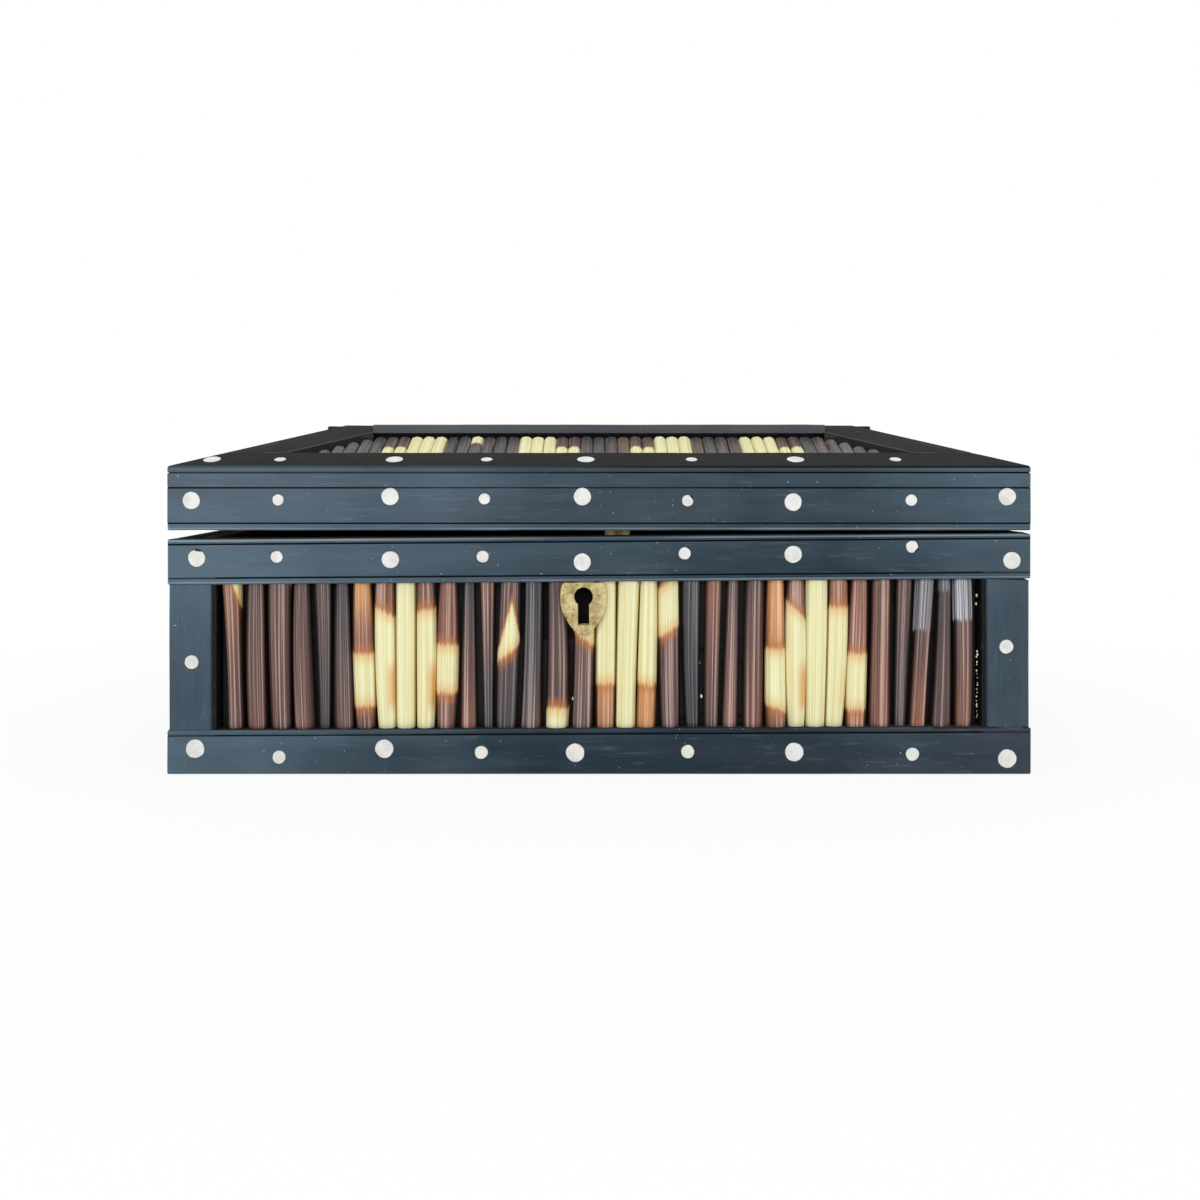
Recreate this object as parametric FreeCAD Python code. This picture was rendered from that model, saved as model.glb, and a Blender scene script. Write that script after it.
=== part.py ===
import FreeCAD, Part
import math
import os

# Keepsake box of ebony strips and porcupine quills, with a hipped lid.
# Millimetres. Origin under the middle of the box, on the surface it stands on.
# X runs along the front from left to right, Y from front to back, Z up.

Vector = FreeCAD.Vector
os.makedirs("parts", exist_ok=True)

# Overall size of the base
box_width = 240.0
box_depth = 170.0
rim_height = 67.1
rim_sag = 1.8
bottom_thickness = 3.5

# Ebony strips of the walls
strip_thickness = 7.0
rim_strip_height = 12.7
foot_height_left = 12.1
foot_height_right = 13.2
stile_width = 13.6
stile_set_back = 0.4
edge_ease = 0.5
scribe_width = 0.5
scribe_depth = 0.4
rim_scribe_top = 1.5
rim_scribe_bottom = 1.8
foot_scribe_top = 1.4
stile_scribe = 1.6
frieze_scribe_bottom = 2.0
eave_scribe = 1.8

# Thin boards behind the strips
lining_thickness = 4.0

# Quills of the four walls
wall_quill_least_pitch = 5.98
wall_quill_butt_radius = 2.95
wall_quill_tip_radius = 2.8
wall_quill_side_gap = 1.3
quill_seat = 0.1

# Lid, level when shut, over the rim
lid_gap = 0.65
frieze_height = 12.1
eave_height = 5.8
roof_rise = 12.7
roof_run_front = 35.0
roof_run_side = 43.0
eave_width = 10.8
eave_lip = 3.0
roof_strip_drop = 5.2
roof_board_drop = 3.5
hip_half_width = 10.5

# Frame and quills on top of the lid
top_edge_drop = 2.2
top_lip_depth = 4.0
top_lip_thickness = 2.6
roof_quill_pitch = 3.62
roof_quill_radius = 1.75
roof_quill_end_gap = 0.8
roof_quill_shortest = 4.0

# Bone discs let into the strips
disc_depth = 1.4
disc_glue_gap = 0.12
rim_disc_radii = (2.4, 1.7)
foot_disc_radii = (2.55, 1.85)
frieze_disc_radii = (2.4, 1.6)
roof_disc_radii = (2.4, 1.65)
stile_disc_radius = 1.95
front_rim_disc_strays = (1.5, -4.6, -1.3, -4.0, -4.6, -4.5, -2.7, 2.0, 1.4)
front_foot_disc_strays = (1.1, -3.9, -3.0, -4.4, -6.6, -3.7, -2.4, 2.1, 0.1)
front_frieze_disc_strays = (0, -4.2, -1.4, -3.5, -4.6, -3.7, -2.7, 1.8, 0.1)
front_rim_disc_rises = (7.4, 7.6, 6.6, 7.2, 5.5, 7.7, 7.2, 9.1, 5.1)
front_foot_disc_rises = (7.1, 4.8, 7.1, 6.1, 6.0, 6.3, 6.2, 5.6, 4.4)
front_frieze_disc_rises = (8.3, 8.5, 9.4, 8.8, 9.4, 8.3, 7.9, 8.4, 9.4)
front_roof_disc_strays = (0.1, 2.3, -1.7, -3.7, -3.9, -4.6, -6.4)
front_corner_disc_place = 10.9
front_stile_disc_heights = (31.1, 35.4)
disc_end_margin = 6.7
roof_disc_end_margin = 30.0
disc_spacing = 28.0
frieze_disc_rise = 8.6
top_disc_margin = 5.0

# Brass keyhole plate on the front
lock_offset = -4.3
plate_rim_gap = 0.225
plate_thickness = 0.9
plate_half_width_top = 5.7
plate_half_width = 6.5
plate_shoulder_half_width = 6.05
plate_flank_half_width = 4.2
plate_foot_half_width = 1.85
plate_top = 3.9
plate_widest = 0.3
plate_shoulder = -3.6
plate_flank = -7.3
plate_foot = -10.2
plate_tip = -10.6
keyhole_radius = 2.6
keyhole_slot_half_width = 1.55
keyhole_slot_depth = 7.9
keyway_clearance = 0.3

# Lock let into the front board
case_half_width = 18.0
case_below_key = 12.5
case_top_drop = 0.4
case_wall = 0.8
case_fit = 0.1
back_plate_overlap = 4.0
back_plate_thickness = 1.2
screw_shank_radius = 0.9
screw_head_radius = 1.7
screw_head_depth = 0.9
lock_screw_length = 3.6
bolt_height = 4.5
bolt_above_key = 5.2
bolt_thickness = 2.6
bolt_rear = -15.0
bolt_nose = 4.8
bolt_travel = 5.0
bolt_play = 0.3
talon_left = -4.3
talon_width = 3.6
talon_height = 2.1
guide_post_place = -7.0
guide_post_radius = 1.0
guide_slot_play = 0.12
key_post_radius = 0.9
key_post_reach = 1.0
spring_thickness = 0.4
spring_length = 11.0
spring_drop = 1.6
spring_gap = 0.3
spring_width = 2.0

# Catch on the lid that drops into the lock
catch_left = 6.0
catch_width = 7.0
catch_thickness = 1.7
catch_notch_depth = 4.5
catch_below_bolt = 2.5
catch_front_play = 0.9
catch_plate_half_width = 9.0
catch_plate_thickness = 1.0
catch_slot_play = 0.4
catch_screw_length = 6.0

# Brass butt hinges at the back
hinge_place = 72.0
hinge_length = 24.0
hinge_barrel_radius = 1.8
hinge_pin_radius = 0.8
hinge_pin_clearance = 0.05
hinge_leaf_thickness = 1.0
hinge_leaf_reach = 8.5
hinge_leaf_gap = 0.15
hinge_knuckle_gap = 0.15
hinge_barrel_clearance = 0.3
hinge_fit = 0.1
hinge_screw_length = 7.0
hinge_screw_spread = 7.0
hinge_screw_set_in = 3.7
back_bevel_angle = 45.0
screw_fit = 0.03

# Places that follow from the sizes above
half_width = box_width / 2
half_depth = box_depth / 2
lid_bottom = rim_height + lid_gap
joint_height = lid_bottom + frieze_height
eave_top = joint_height + eave_height
roof_top = eave_top + roof_rise
lining_face = strip_thickness + lining_thickness
top_half_width = half_width - roof_run_side
top_half_depth = half_depth - roof_run_front
side_eave_width = eave_width * roof_run_side / roof_run_front
frame_depth_front = roof_run_front * (1 - top_edge_drop / roof_rise)
frame_depth_side = roof_run_side * (1 - top_edge_drop / roof_rise)
hip_plan_length = math.hypot(roof_run_front, roof_run_side)
hip_reach_x = hip_half_width * hip_plan_length / roof_run_front
hip_reach_y = hip_half_width * hip_plan_length / roof_run_side
hinge_axis_y = half_depth - hinge_barrel_radius
hinge_axis_z = rim_height + lid_gap / 2
far = 400.0


class Side:
    """One wall: places are given along it, in from its outer face, and up."""

    def __init__(self, name, start, along, inward, length, rims, feet, run, other_run):
        self.name = name
        self.start = start
        self.along = along
        self.inward = inward
        self.length = length
        self.rims = rims
        self.feet = feet
        self.run = run
        self.other_run = other_run

    def at(self, place, depth, height):
        x = self.start[0] + self.along[0] * place + self.inward[0] * depth
        y = self.start[1] + self.along[1] * place + self.inward[1] * depth
        return Vector(x, y, height)

    def rim(self, place):
        return self.rims[0] + (self.rims[1] - self.rims[0]) * place / self.length

    def rim_low(self, place):
        return self.rim(place) - rim_strip_height

    def foot(self, place):
        return self.feet[0] + (self.feet[1] - self.feet[0]) * place / self.length

    def roof(self, depth):
        return eave_top + roof_rise * depth / self.run


low_rim = rim_height - rim_sag
front = Side("front", (-half_width, -half_depth), (1, 0), (0, 1), box_width,
             (low_rim, rim_height), (foot_height_left, foot_height_right),
             roof_run_front, roof_run_side)
right = Side("right", (half_width, -half_depth), (0, 1), (-1, 0), box_depth,
             (rim_height, rim_height), (foot_height_right, foot_height_right),
             roof_run_side, roof_run_front)
back = Side("back", (half_width, half_depth), (-1, 0), (0, -1), box_width,
            (rim_height, rim_height), (foot_height_right, foot_height_left),
            roof_run_front, roof_run_side)
left = Side("left", (-half_width, half_depth), (0, -1), (1, 0), box_depth,
            (rim_height, low_rim), (foot_height_left, foot_height_left),
            roof_run_side, roof_run_front)
sides = (front, right, back, left)
long_sides = (front, back)


def save(node, shapes):
    """Write one node, as one solid or as a group of separate solids."""
    solids = []
    for shape in shapes:
        solids.extend(shape.Solids)
    shape = solids[0] if len(solids) == 1 else Part.makeCompound(solids)
    shape.exportStep("parts/" + node + ".step")


def box(x0, x1, y0, y1, z0, z1):
    return Part.makeBox(x1 - x0, y1 - y0, z1 - z0, Vector(x0, y0, z0))


def face(points):
    return Part.Face(Part.makePolygon(points + [points[0]]))


def plan_prism(points, z0, z1):
    outline = [Vector(x, y, z0) for x, y in points]
    return face(outline).extrude(Vector(0, 0, z1 - z0))


def wall_panel(side, place0, place1, depth0, depth1, low, high):
    """A board of one wall, whose lower and upper edges may slope along it."""
    corners = [side.at(place0, depth0, low(place0)), side.at(place1, depth0, low(place1)),
               side.at(place1, depth0, high(place1)), side.at(place0, depth0, high(place0))]
    inward = Vector(side.inward[0], side.inward[1], 0)
    return face(corners).extrude(inward * (depth1 - depth0))


def strip_outline(height, scribes):
    """Section of a strip: eased outer edges, and a scribed line at each height."""
    outline = [(strip_thickness, 0), (edge_ease, 0), (0, edge_ease)]
    for scribe in scribes:
        outline.append((0, scribe - scribe_width / 2))
        outline.append((scribe_depth, scribe))
        outline.append((0, scribe + scribe_width / 2))
    outline.extend([(0, height - edge_ease), (edge_ease, height), (strip_thickness, height)])
    return outline


def strip(side, outline, low, grow=0):
    """A strip along one wall, on the line low, whose upper half rises by grow."""
    place0 = 0 if side in long_sides else strip_thickness
    place1 = side.length - place0
    middle = outline[-1][1] / 2
    points = [side.at(place0, depth, low(place0) + rise) for depth, rise in outline]
    other = [side.at(place1, depth, low(place1) + rise + (grow if rise > middle else 0))
             for depth, rise in outline]
    faces = [face(points), face(other)]
    for index in range(len(points)):
        after = (index + 1) % len(points)
        faces.append(face([points[index], points[after], other[after], other[index]]))
    return Part.Solid(Part.makeShell(faces))


def spread(start, end):
    """An odd number of places from start to end, so that both ends take a large disc."""
    count = 2 * round((end - start) / disc_spacing / 2) + 1
    return [start + (end - start) * index / (count - 1) for index in range(count)]


def even_places(side, margin):
    """Places along one wall's strip, which is butted between its neighbours at the sides."""
    start = margin if side in long_sides else margin + strip_thickness
    return spread(start, side.length - start)


def cycled(values, count):
    """The values in turn, over and over, for as many pieces as there are."""
    return [values[index % len(values)] for index in range(count)]


def strayed(places, strays):
    """Even places, each moved by the little that it was set out of line by hand."""
    return [place + stray for place, stray in zip(places, cycled(strays, len(places)))]


def wall_disc_places(side, front_strays):
    places = even_places(side, disc_end_margin)
    return strayed(places, front_strays) if side is front else places


def disc_pair(centre, outward, radius):
    """A disc flush with the surface, and the wider pocket that it sits in."""
    inward = outward * -1
    disc = Part.makeCylinder(radius, disc_depth, centre, inward)
    pocket = Part.makeCylinder(radius + disc_glue_gap, disc_depth + edge_ease,
                               centre + outward * edge_ease, inward)
    return disc, pocket


def disc_row(side, places, heights, radii, face_depth=0):
    outward = Vector(-side.inward[0], -side.inward[1], 0)
    discs = []
    pockets = []
    for index, place in enumerate(places):
        centre = side.at(place, face_depth, heights[index])
        disc, pocket = disc_pair(centre, outward, radii[index % 2])
        discs.append(disc)
        pockets.append(pocket)
    return discs, pockets


# Lock, keyhole plate and catch are set out from the keyhole, which hangs under the rim strip
plate_left = half_width + lock_offset - plate_half_width_top
key_height = front.rim_low(plate_left) - plate_rim_gap - plate_top
lock_rim = front.rim(half_width + lock_offset)
case_top = lock_rim - case_top_drop
case_low = key_height - case_below_key
bolt_low = key_height + bolt_above_key
bolt_mid = bolt_low + bolt_height / 2
bolt_top = bolt_low + bolt_height
case_outer = -half_depth + strip_thickness
case_inner = -half_depth + lining_face
case_room = case_outer + case_wall
catch_face = case_room + catch_front_play
catch_foot = bolt_low - catch_below_bolt


def keyhole(clearance, y0, y1):
    """The round and slot of the keyhole, cut through from y0 to y1."""
    centre = Vector(lock_offset, y0, key_height)
    round_part = Part.makeCylinder(keyhole_radius + clearance, y1 - y0, centre, Vector(0, 1, 0))
    half = keyhole_slot_half_width + clearance
    slot = box(lock_offset - half, lock_offset + half, y0, y1,
               key_height - keyhole_slot_depth - clearance, key_height)
    return round_part.fuse(slot).removeSplitter()


def wood_screw(head, into, length):
    """A countersunk screw: head is the middle of its flat top."""
    cone = Part.makeCone(screw_head_radius, screw_shank_radius, screw_head_depth, head, into)
    shank = Part.makeCylinder(screw_shank_radius, length - screw_head_depth,
                              head + into * screw_head_depth, into)
    return cone.fuse(shank).removeSplitter()


def screw_seat(head, into, length):
    """The hole that a screw fills, with a little room all round."""
    wide = screw_fit
    cone = Part.makeCone(screw_head_radius + wide, screw_shank_radius + wide,
                         screw_head_depth, head, into)
    shank = Part.makeCylinder(screw_shank_radius + wide, length, head, into)
    return cone.fuse(shank)


# Hinges: each leaf is let into a gain, and its knuckles turn on one pin
hinge_places = (-hinge_place, hinge_place)
knuckle = hinge_length / 3
down = Vector(0, 0, -1)
up = Vector(0, 0, 1)
base_leaf_top = hinge_axis_z - hinge_leaf_gap / 2
lid_leaf_bottom = hinge_axis_z + hinge_leaf_gap / 2
leaf_edge_y = hinge_axis_y - hinge_leaf_reach


def hinge_cylinder(x0, x1, radius):
    return Part.makeCylinder(radius, x1 - x0, Vector(x0, hinge_axis_y, hinge_axis_z),
                             Vector(1, 0, 0))


def hinge_leaf(middle, z0, z1, knuckles, other_knuckles, bore):
    half = hinge_length / 2
    leaf = box(middle - half, middle + half, leaf_edge_y, hinge_axis_y, z0, z1)
    gap = hinge_knuckle_gap
    for x0, x1 in other_knuckles:
        room = hinge_cylinder(middle + x0 - gap, middle + x1 + gap,
                              hinge_barrel_radius + hinge_barrel_clearance)
        leaf = leaf.cut(room)
    for x0, x1 in knuckles:
        leaf = leaf.fuse(hinge_cylinder(middle + x0, middle + x1, hinge_barrel_radius))
    leaf = leaf.cut(hinge_cylinder(middle - half, middle + half, bore))
    return leaf.removeSplitter()


def hinge_gain(middle, z0, z1):
    """The recess for one leaf and for the barrel."""
    half = hinge_length / 2 + hinge_fit
    leaf = box(middle - half, middle + half, leaf_edge_y - hinge_fit, half_depth + 1, z0, z1)
    barrel = hinge_cylinder(middle - half, middle + half,
                            hinge_barrel_radius + hinge_barrel_clearance)
    return leaf.fuse(barrel)


hinge_screw_y = hinge_axis_y - hinge_screw_set_in
hinge_screw_places = [middle + shift for middle in hinge_places
                      for shift in (-hinge_screw_spread, hinge_screw_spread)]
base_screw_heads = [Vector(x, hinge_screw_y, base_leaf_top) for x in hinge_screw_places]
lid_screw_heads = [Vector(x, hinge_screw_y, lid_leaf_bottom) for x in hinge_screw_places]
outer_knuckles = ((-hinge_length / 2, -knuckle / 2), (knuckle / 2, hinge_length / 2))
middle_knuckle = ((-knuckle / 2, knuckle / 2),)
base_leaves = []
lid_leaves = []
hinge_pins = []
base_gains = []
lid_gains = []
for middle in hinge_places:
    base_leaves.append(hinge_leaf(middle, base_leaf_top - hinge_leaf_thickness, base_leaf_top,
                                  outer_knuckles, middle_knuckle, hinge_pin_radius))
    lid_leaves.append(hinge_leaf(middle, lid_leaf_bottom, lid_leaf_bottom + hinge_leaf_thickness,
                                 middle_knuckle, outer_knuckles,
                                 hinge_pin_radius + hinge_pin_clearance))
    hinge_pins.append(hinge_cylinder(middle - hinge_length / 2, middle + hinge_length / 2,
                                     hinge_pin_radius))
    base_gains.append(hinge_gain(middle, base_leaf_top - hinge_leaf_thickness, hinge_axis_z))
    lid_gains.append(hinge_gain(middle, hinge_axis_z, lid_leaf_bottom + hinge_leaf_thickness))
base_screws = [wood_screw(head, down, hinge_screw_length) for head in base_screw_heads]
lid_screws = [wood_screw(head, up, hinge_screw_length) for head in lid_screw_heads]
base_screw_seats = [screw_seat(head, down, hinge_screw_length) for head in base_screw_heads]
lid_screw_seats = [screw_seat(head, up, hinge_screw_length) for head in lid_screw_heads]
save("hinge_base_leaves", [leaf.cut(base_screw_seats) for leaf in base_leaves])
save("hinge_lid_leaves", [leaf.cut(lid_screw_seats) for leaf in lid_leaves])
save("hinge_pins", hinge_pins)
save("hinge_base_screws", base_screws)
save("hinge_lid_screws", lid_screws)

# The back edges are planed off so that they meet when the lid leans open
bevel_height = hinge_barrel_radius * math.tan(math.radians(back_bevel_angle))


def back_bevel(edge_z, direction):
    points = [Vector(-far, hinge_axis_y, edge_z), Vector(-far, half_depth, edge_z),
              Vector(-far, half_depth, edge_z + direction * bevel_height)]
    return face(points).extrude(Vector(2 * far, 0, 0))


base_bevel = back_bevel(rim_height, -1)
lid_bevel = back_bevel(lid_bottom, 1)

# Base: bottom board, foot strips, rim strips, stiles, boards and quills
save("bottom_board", [box(-half_width + strip_thickness, half_width - strip_thickness,
                          -half_depth + strip_thickness, half_depth - strip_thickness,
                          0, bottom_thickness)])

base_discs = []
stiles = []
for side in sides:
    on_front = side is front
    places = wall_disc_places(side, front_rim_disc_strays)
    foot_places = wall_disc_places(side, front_foot_disc_strays)
    middle_rise = rim_strip_height / 2
    rim_rises = cycled(front_rim_disc_rises if on_front else (middle_rise,), len(places))
    foot_rises = [side.foot(place) / 2 for place in foot_places]
    if on_front:
        foot_rises = cycled(front_foot_disc_rises, len(places))
    heights = [side.rim_low(p) + rise for p, rise in zip(places, rim_rises)]
    discs, pockets = disc_row(side, places, heights, rim_disc_radii)
    base_discs.extend(discs)
    scribes = [rim_scribe_bottom]
    if side is not back:
        scribes.append(rim_strip_height - rim_scribe_top)
    outline = strip_outline(rim_strip_height, scribes)
    rim_strip = strip(side, outline, side.rim_low).cut(pockets)
    if side is back:
        rim_strip = rim_strip.cut(base_gains + base_screw_seats + [base_bevel])
    save("rim_strip_" + side.name, [rim_strip])

    discs, pockets = disc_row(side, foot_places, foot_rises, foot_disc_radii)
    base_discs.extend(discs)
    foot_height = side.feet[0]
    outline = strip_outline(foot_height, (foot_height - foot_scribe_top,))
    foot_strip = strip(side, outline, lambda place: 0, side.feet[1] - foot_height)
    foot_strip = foot_strip.cut(pockets)
    save("foot_strip_" + side.name, [foot_strip])

    # Stiles and quills fill the space between the foot strip and the rim strip
    zone = wall_panel(side, 0, side.length, 0, strip_thickness, side.foot, side.rim_low)
    reach0 = stile_set_back if side in long_sides else strip_thickness
    stile_low = min(side.feet)
    stile_high = rim_height - rim_strip_height
    inner = stile_width - stile_scribe
    half_scribe = scribe_width / 2
    for end, sign in ((0, 1), (side.length, -1)):
        plan = [(reach0, strip_thickness), (reach0, stile_set_back),
                (inner - half_scribe, stile_set_back), (inner, stile_set_back + scribe_depth),
                (inner + half_scribe, stile_set_back), (stile_width, stile_set_back),
                (stile_width, strip_thickness)]
        corners = [side.at(end + sign * place, depth, stile_low) for place, depth in plan]
        stile = face(corners).extrude(up * (stile_high - stile_low)).common(zone)
        if side in long_sides:
            index = 0 if sign == 1 else 1
            height = front_stile_disc_heights[index]
            place = end + sign * disc_end_margin
            discs, pockets = disc_row(side, [place], [height], [stile_disc_radius] * 2,
                                      stile_set_back)
            base_discs.extend(discs)
            stile = stile.cut(pockets)
        stiles.append(stile)

    opening = side.length - 2 * stile_width - 2 * wall_quill_side_gap
    count = int(opening / wall_quill_least_pitch)
    pitch = opening / count
    first = side.length / 2 - (count - 1) * pitch / 2
    axis_depth = strip_thickness + quill_seat - wall_quill_butt_radius
    quills = []
    for index in range(count):
        foot = side.at(first + index * pitch, axis_depth, stile_low)
        radii = (wall_quill_butt_radius, wall_quill_tip_radius)
        lower, upper = radii if index % 2 else radii[::-1]
        quills.append(Part.makeCone(lower, upper, stile_high - stile_low, foot, up))
    quills = Part.makeCompound(quills).common(zone)
    if on_front:
        quills = quills.cut(keyhole(keyway_clearance, -half_depth, case_outer))
    save("quills_" + side.name, [quills])

    # The board behind carries the quills
    place0 = strip_thickness if side in long_sides else lining_face
    board = wall_panel(side, place0, side.length - place0, strip_thickness, lining_face,
                       lambda place: bottom_thickness, side.rim)
    if on_front:
        board = board.cut(box(lock_offset - case_half_width - case_fit,
                              lock_offset + case_half_width + case_fit,
                              case_outer, case_inner, case_low - case_fit, far))
        lock_board = board
    elif side is back:
        save("board_back", [board.cut(base_gains)])
    else:
        save("board_" + side.name, [board])
save("corner_stiles", stiles)
save("base_discs", base_discs)

# Keyhole plate, seated on the crests of the quills under the rim strip
plate_back = -half_depth + strip_thickness + quill_seat - 2 * wall_quill_butt_radius


def plate_point(across, rise):
    return Vector(lock_offset + across, plate_back - plate_thickness, key_height + rise)


plate_edges = [Part.LineSegment(plate_point(-plate_half_width_top, plate_top),
                                plate_point(plate_half_width_top, plate_top)).toShape()]
for sign in (1, -1):
    plate_edges.append(Part.Arc(plate_point(sign * plate_half_width_top, plate_top),
                                plate_point(sign * plate_half_width, plate_widest),
                                plate_point(sign * plate_shoulder_half_width,
                                            plate_shoulder)).toShape())
    plate_edges.append(Part.Arc(plate_point(sign * plate_shoulder_half_width, plate_shoulder),
                                plate_point(sign * plate_flank_half_width, plate_flank),
                                plate_point(sign * plate_foot_half_width,
                                            plate_foot)).toShape())
plate_edges.append(Part.Arc(plate_point(plate_foot_half_width, plate_foot),
                            plate_point(0, plate_tip),
                            plate_point(-plate_foot_half_width, plate_foot)).toShape())
plate = Part.Face(Part.Wire(Part.__sortEdges__(plate_edges)))
plate = plate.extrude(Vector(0, plate_thickness, 0))
save("keyhole_plate", [plate.cut(keyhole(0, -half_depth, case_outer))])

# Lock: case, bolt, posts, spring, back plate and screws
case_left = lock_offset - case_half_width
case_right = lock_offset + case_half_width
case = box(case_left, case_right, case_outer, case_inner, case_low, case_top)
case_hollow = box(case_left + case_wall, case_right - case_wall, case_room, case_inner,
                  case_low + case_wall, case_top - case_wall)
catch_x0 = lock_offset + catch_left
catch_x1 = catch_x0 + catch_width
catch_slot = box(catch_x0 - catch_slot_play, catch_x1 + catch_slot_play,
                 case_room, catch_face + catch_thickness + catch_slot_play,
                 case_top - case_wall, case_top)
case = case.cut([case_hollow, catch_slot, keyhole(keyway_clearance, case_outer, case_room)])
save("lock_case", [case])

bolt_y = case_room + bolt_play
bolt = box(lock_offset + bolt_rear, lock_offset + bolt_nose, bolt_y, bolt_y + bolt_thickness,
           bolt_low, bolt_top)
talon = box(lock_offset + talon_left, lock_offset + talon_left + talon_width,
            bolt_y, bolt_y + bolt_thickness, bolt_low, bolt_low + talon_height)
slot_radius = guide_post_radius + guide_slot_play
post_x = lock_offset + guide_post_place
slot_start = Vector(post_x - bolt_travel, bolt_y, bolt_mid)
slot_end = Vector(post_x, bolt_y, bolt_mid)
guide_slot = box(slot_start.x, slot_end.x, bolt_y, bolt_y + bolt_thickness,
                 bolt_mid - slot_radius, bolt_mid + slot_radius)
for end in (slot_start, slot_end):
    guide_slot = guide_slot.fuse(Part.makeCylinder(slot_radius, bolt_thickness, end,
                                                   Vector(0, 1, 0)))
save("lock_bolt", [bolt.cut([talon, guide_slot.removeSplitter()])])

guide_post = Part.makeCylinder(guide_post_radius, case_inner - case_room,
                               Vector(post_x, case_room, bolt_mid), Vector(0, 1, 0))
key_post_front = case_outer - key_post_reach
key_post = Part.makeCylinder(key_post_radius, case_inner - key_post_front,
                             Vector(lock_offset, key_post_front, key_height), Vector(0, 1, 0))
save("lock_posts", [guide_post, key_post])

spring_x = case_left + case_wall
spring_foot = bolt_top + spring_gap
spring_points = [(spring_x, spring_foot + spring_drop),
                 (spring_x, spring_foot + spring_drop + spring_thickness),
                 (spring_x + spring_length, spring_foot + spring_thickness),
                 (spring_x + spring_length, spring_foot)]
spring_face = face([Vector(x, bolt_y, z) for x, z in spring_points])
save("lock_spring", [spring_face.extrude(Vector(0, spring_width, 0))])

back_plate = box(case_left - back_plate_overlap, case_right + back_plate_overlap, case_inner,
                 case_inner + back_plate_thickness, case_low - back_plate_overlap, case_top)
toward_front = Vector(0, -1, 0)
lock_screw_inset = back_plate_overlap / 2
lock_screw_heads = [Vector(x, case_inner + back_plate_thickness, z)
                    for x in (case_left - lock_screw_inset, case_right + lock_screw_inset)
                    for z in (case_low + lock_screw_inset, case_top - back_plate_overlap)]
lock_seats = [screw_seat(head, toward_front, lock_screw_length) for head in lock_screw_heads]
save("lock_back_plate", [back_plate.cut(lock_seats)])
save("lock_screws", [wood_screw(head, toward_front, lock_screw_length)
                     for head in lock_screw_heads])
save("board_front", [lock_board.cut(lock_seats)])

# Roof of the lid: one hipped form, and the same form lowered for each layer
slope_fall = eave_top - lid_bottom
low_half_width = half_width + slope_fall * roof_run_side / roof_rise
low_half_depth = half_depth + slope_fall * roof_run_front / roof_rise


def rectangle(half_x, half_y, z):
    return [Vector(-half_x, -half_y, z), Vector(half_x, -half_y, z),
            Vector(half_x, half_y, z), Vector(-half_x, half_y, z)]


def hipped_form():
    low = rectangle(low_half_width, low_half_depth, lid_bottom)
    high = rectangle(top_half_width, top_half_depth, roof_top)
    faces = [face(low), face(high)]
    for index in range(len(low)):
        after = (index + 1) % len(low)
        faces.append(face([low[index], low[after], high[after], high[index]]))
    return Part.Solid(Part.makeShell(faces))


roof_form = hipped_form()


def roof_layer(drop, inset, floor):
    lowered = roof_form.translated(Vector(0, 0, -drop))
    return lowered.common(box(-half_width + inset, half_width - inset, -half_depth + inset,
                              half_depth - inset, floor, far))


under_strips = roof_layer(roof_strip_drop, eave_lip, joint_height)
under_boards = roof_layer(roof_strip_drop + roof_board_drop, 0, 0)
strip_layer = roof_layer(0, 0, joint_height).cut(under_strips)
board_layer = under_strips.cut(under_boards)

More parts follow.
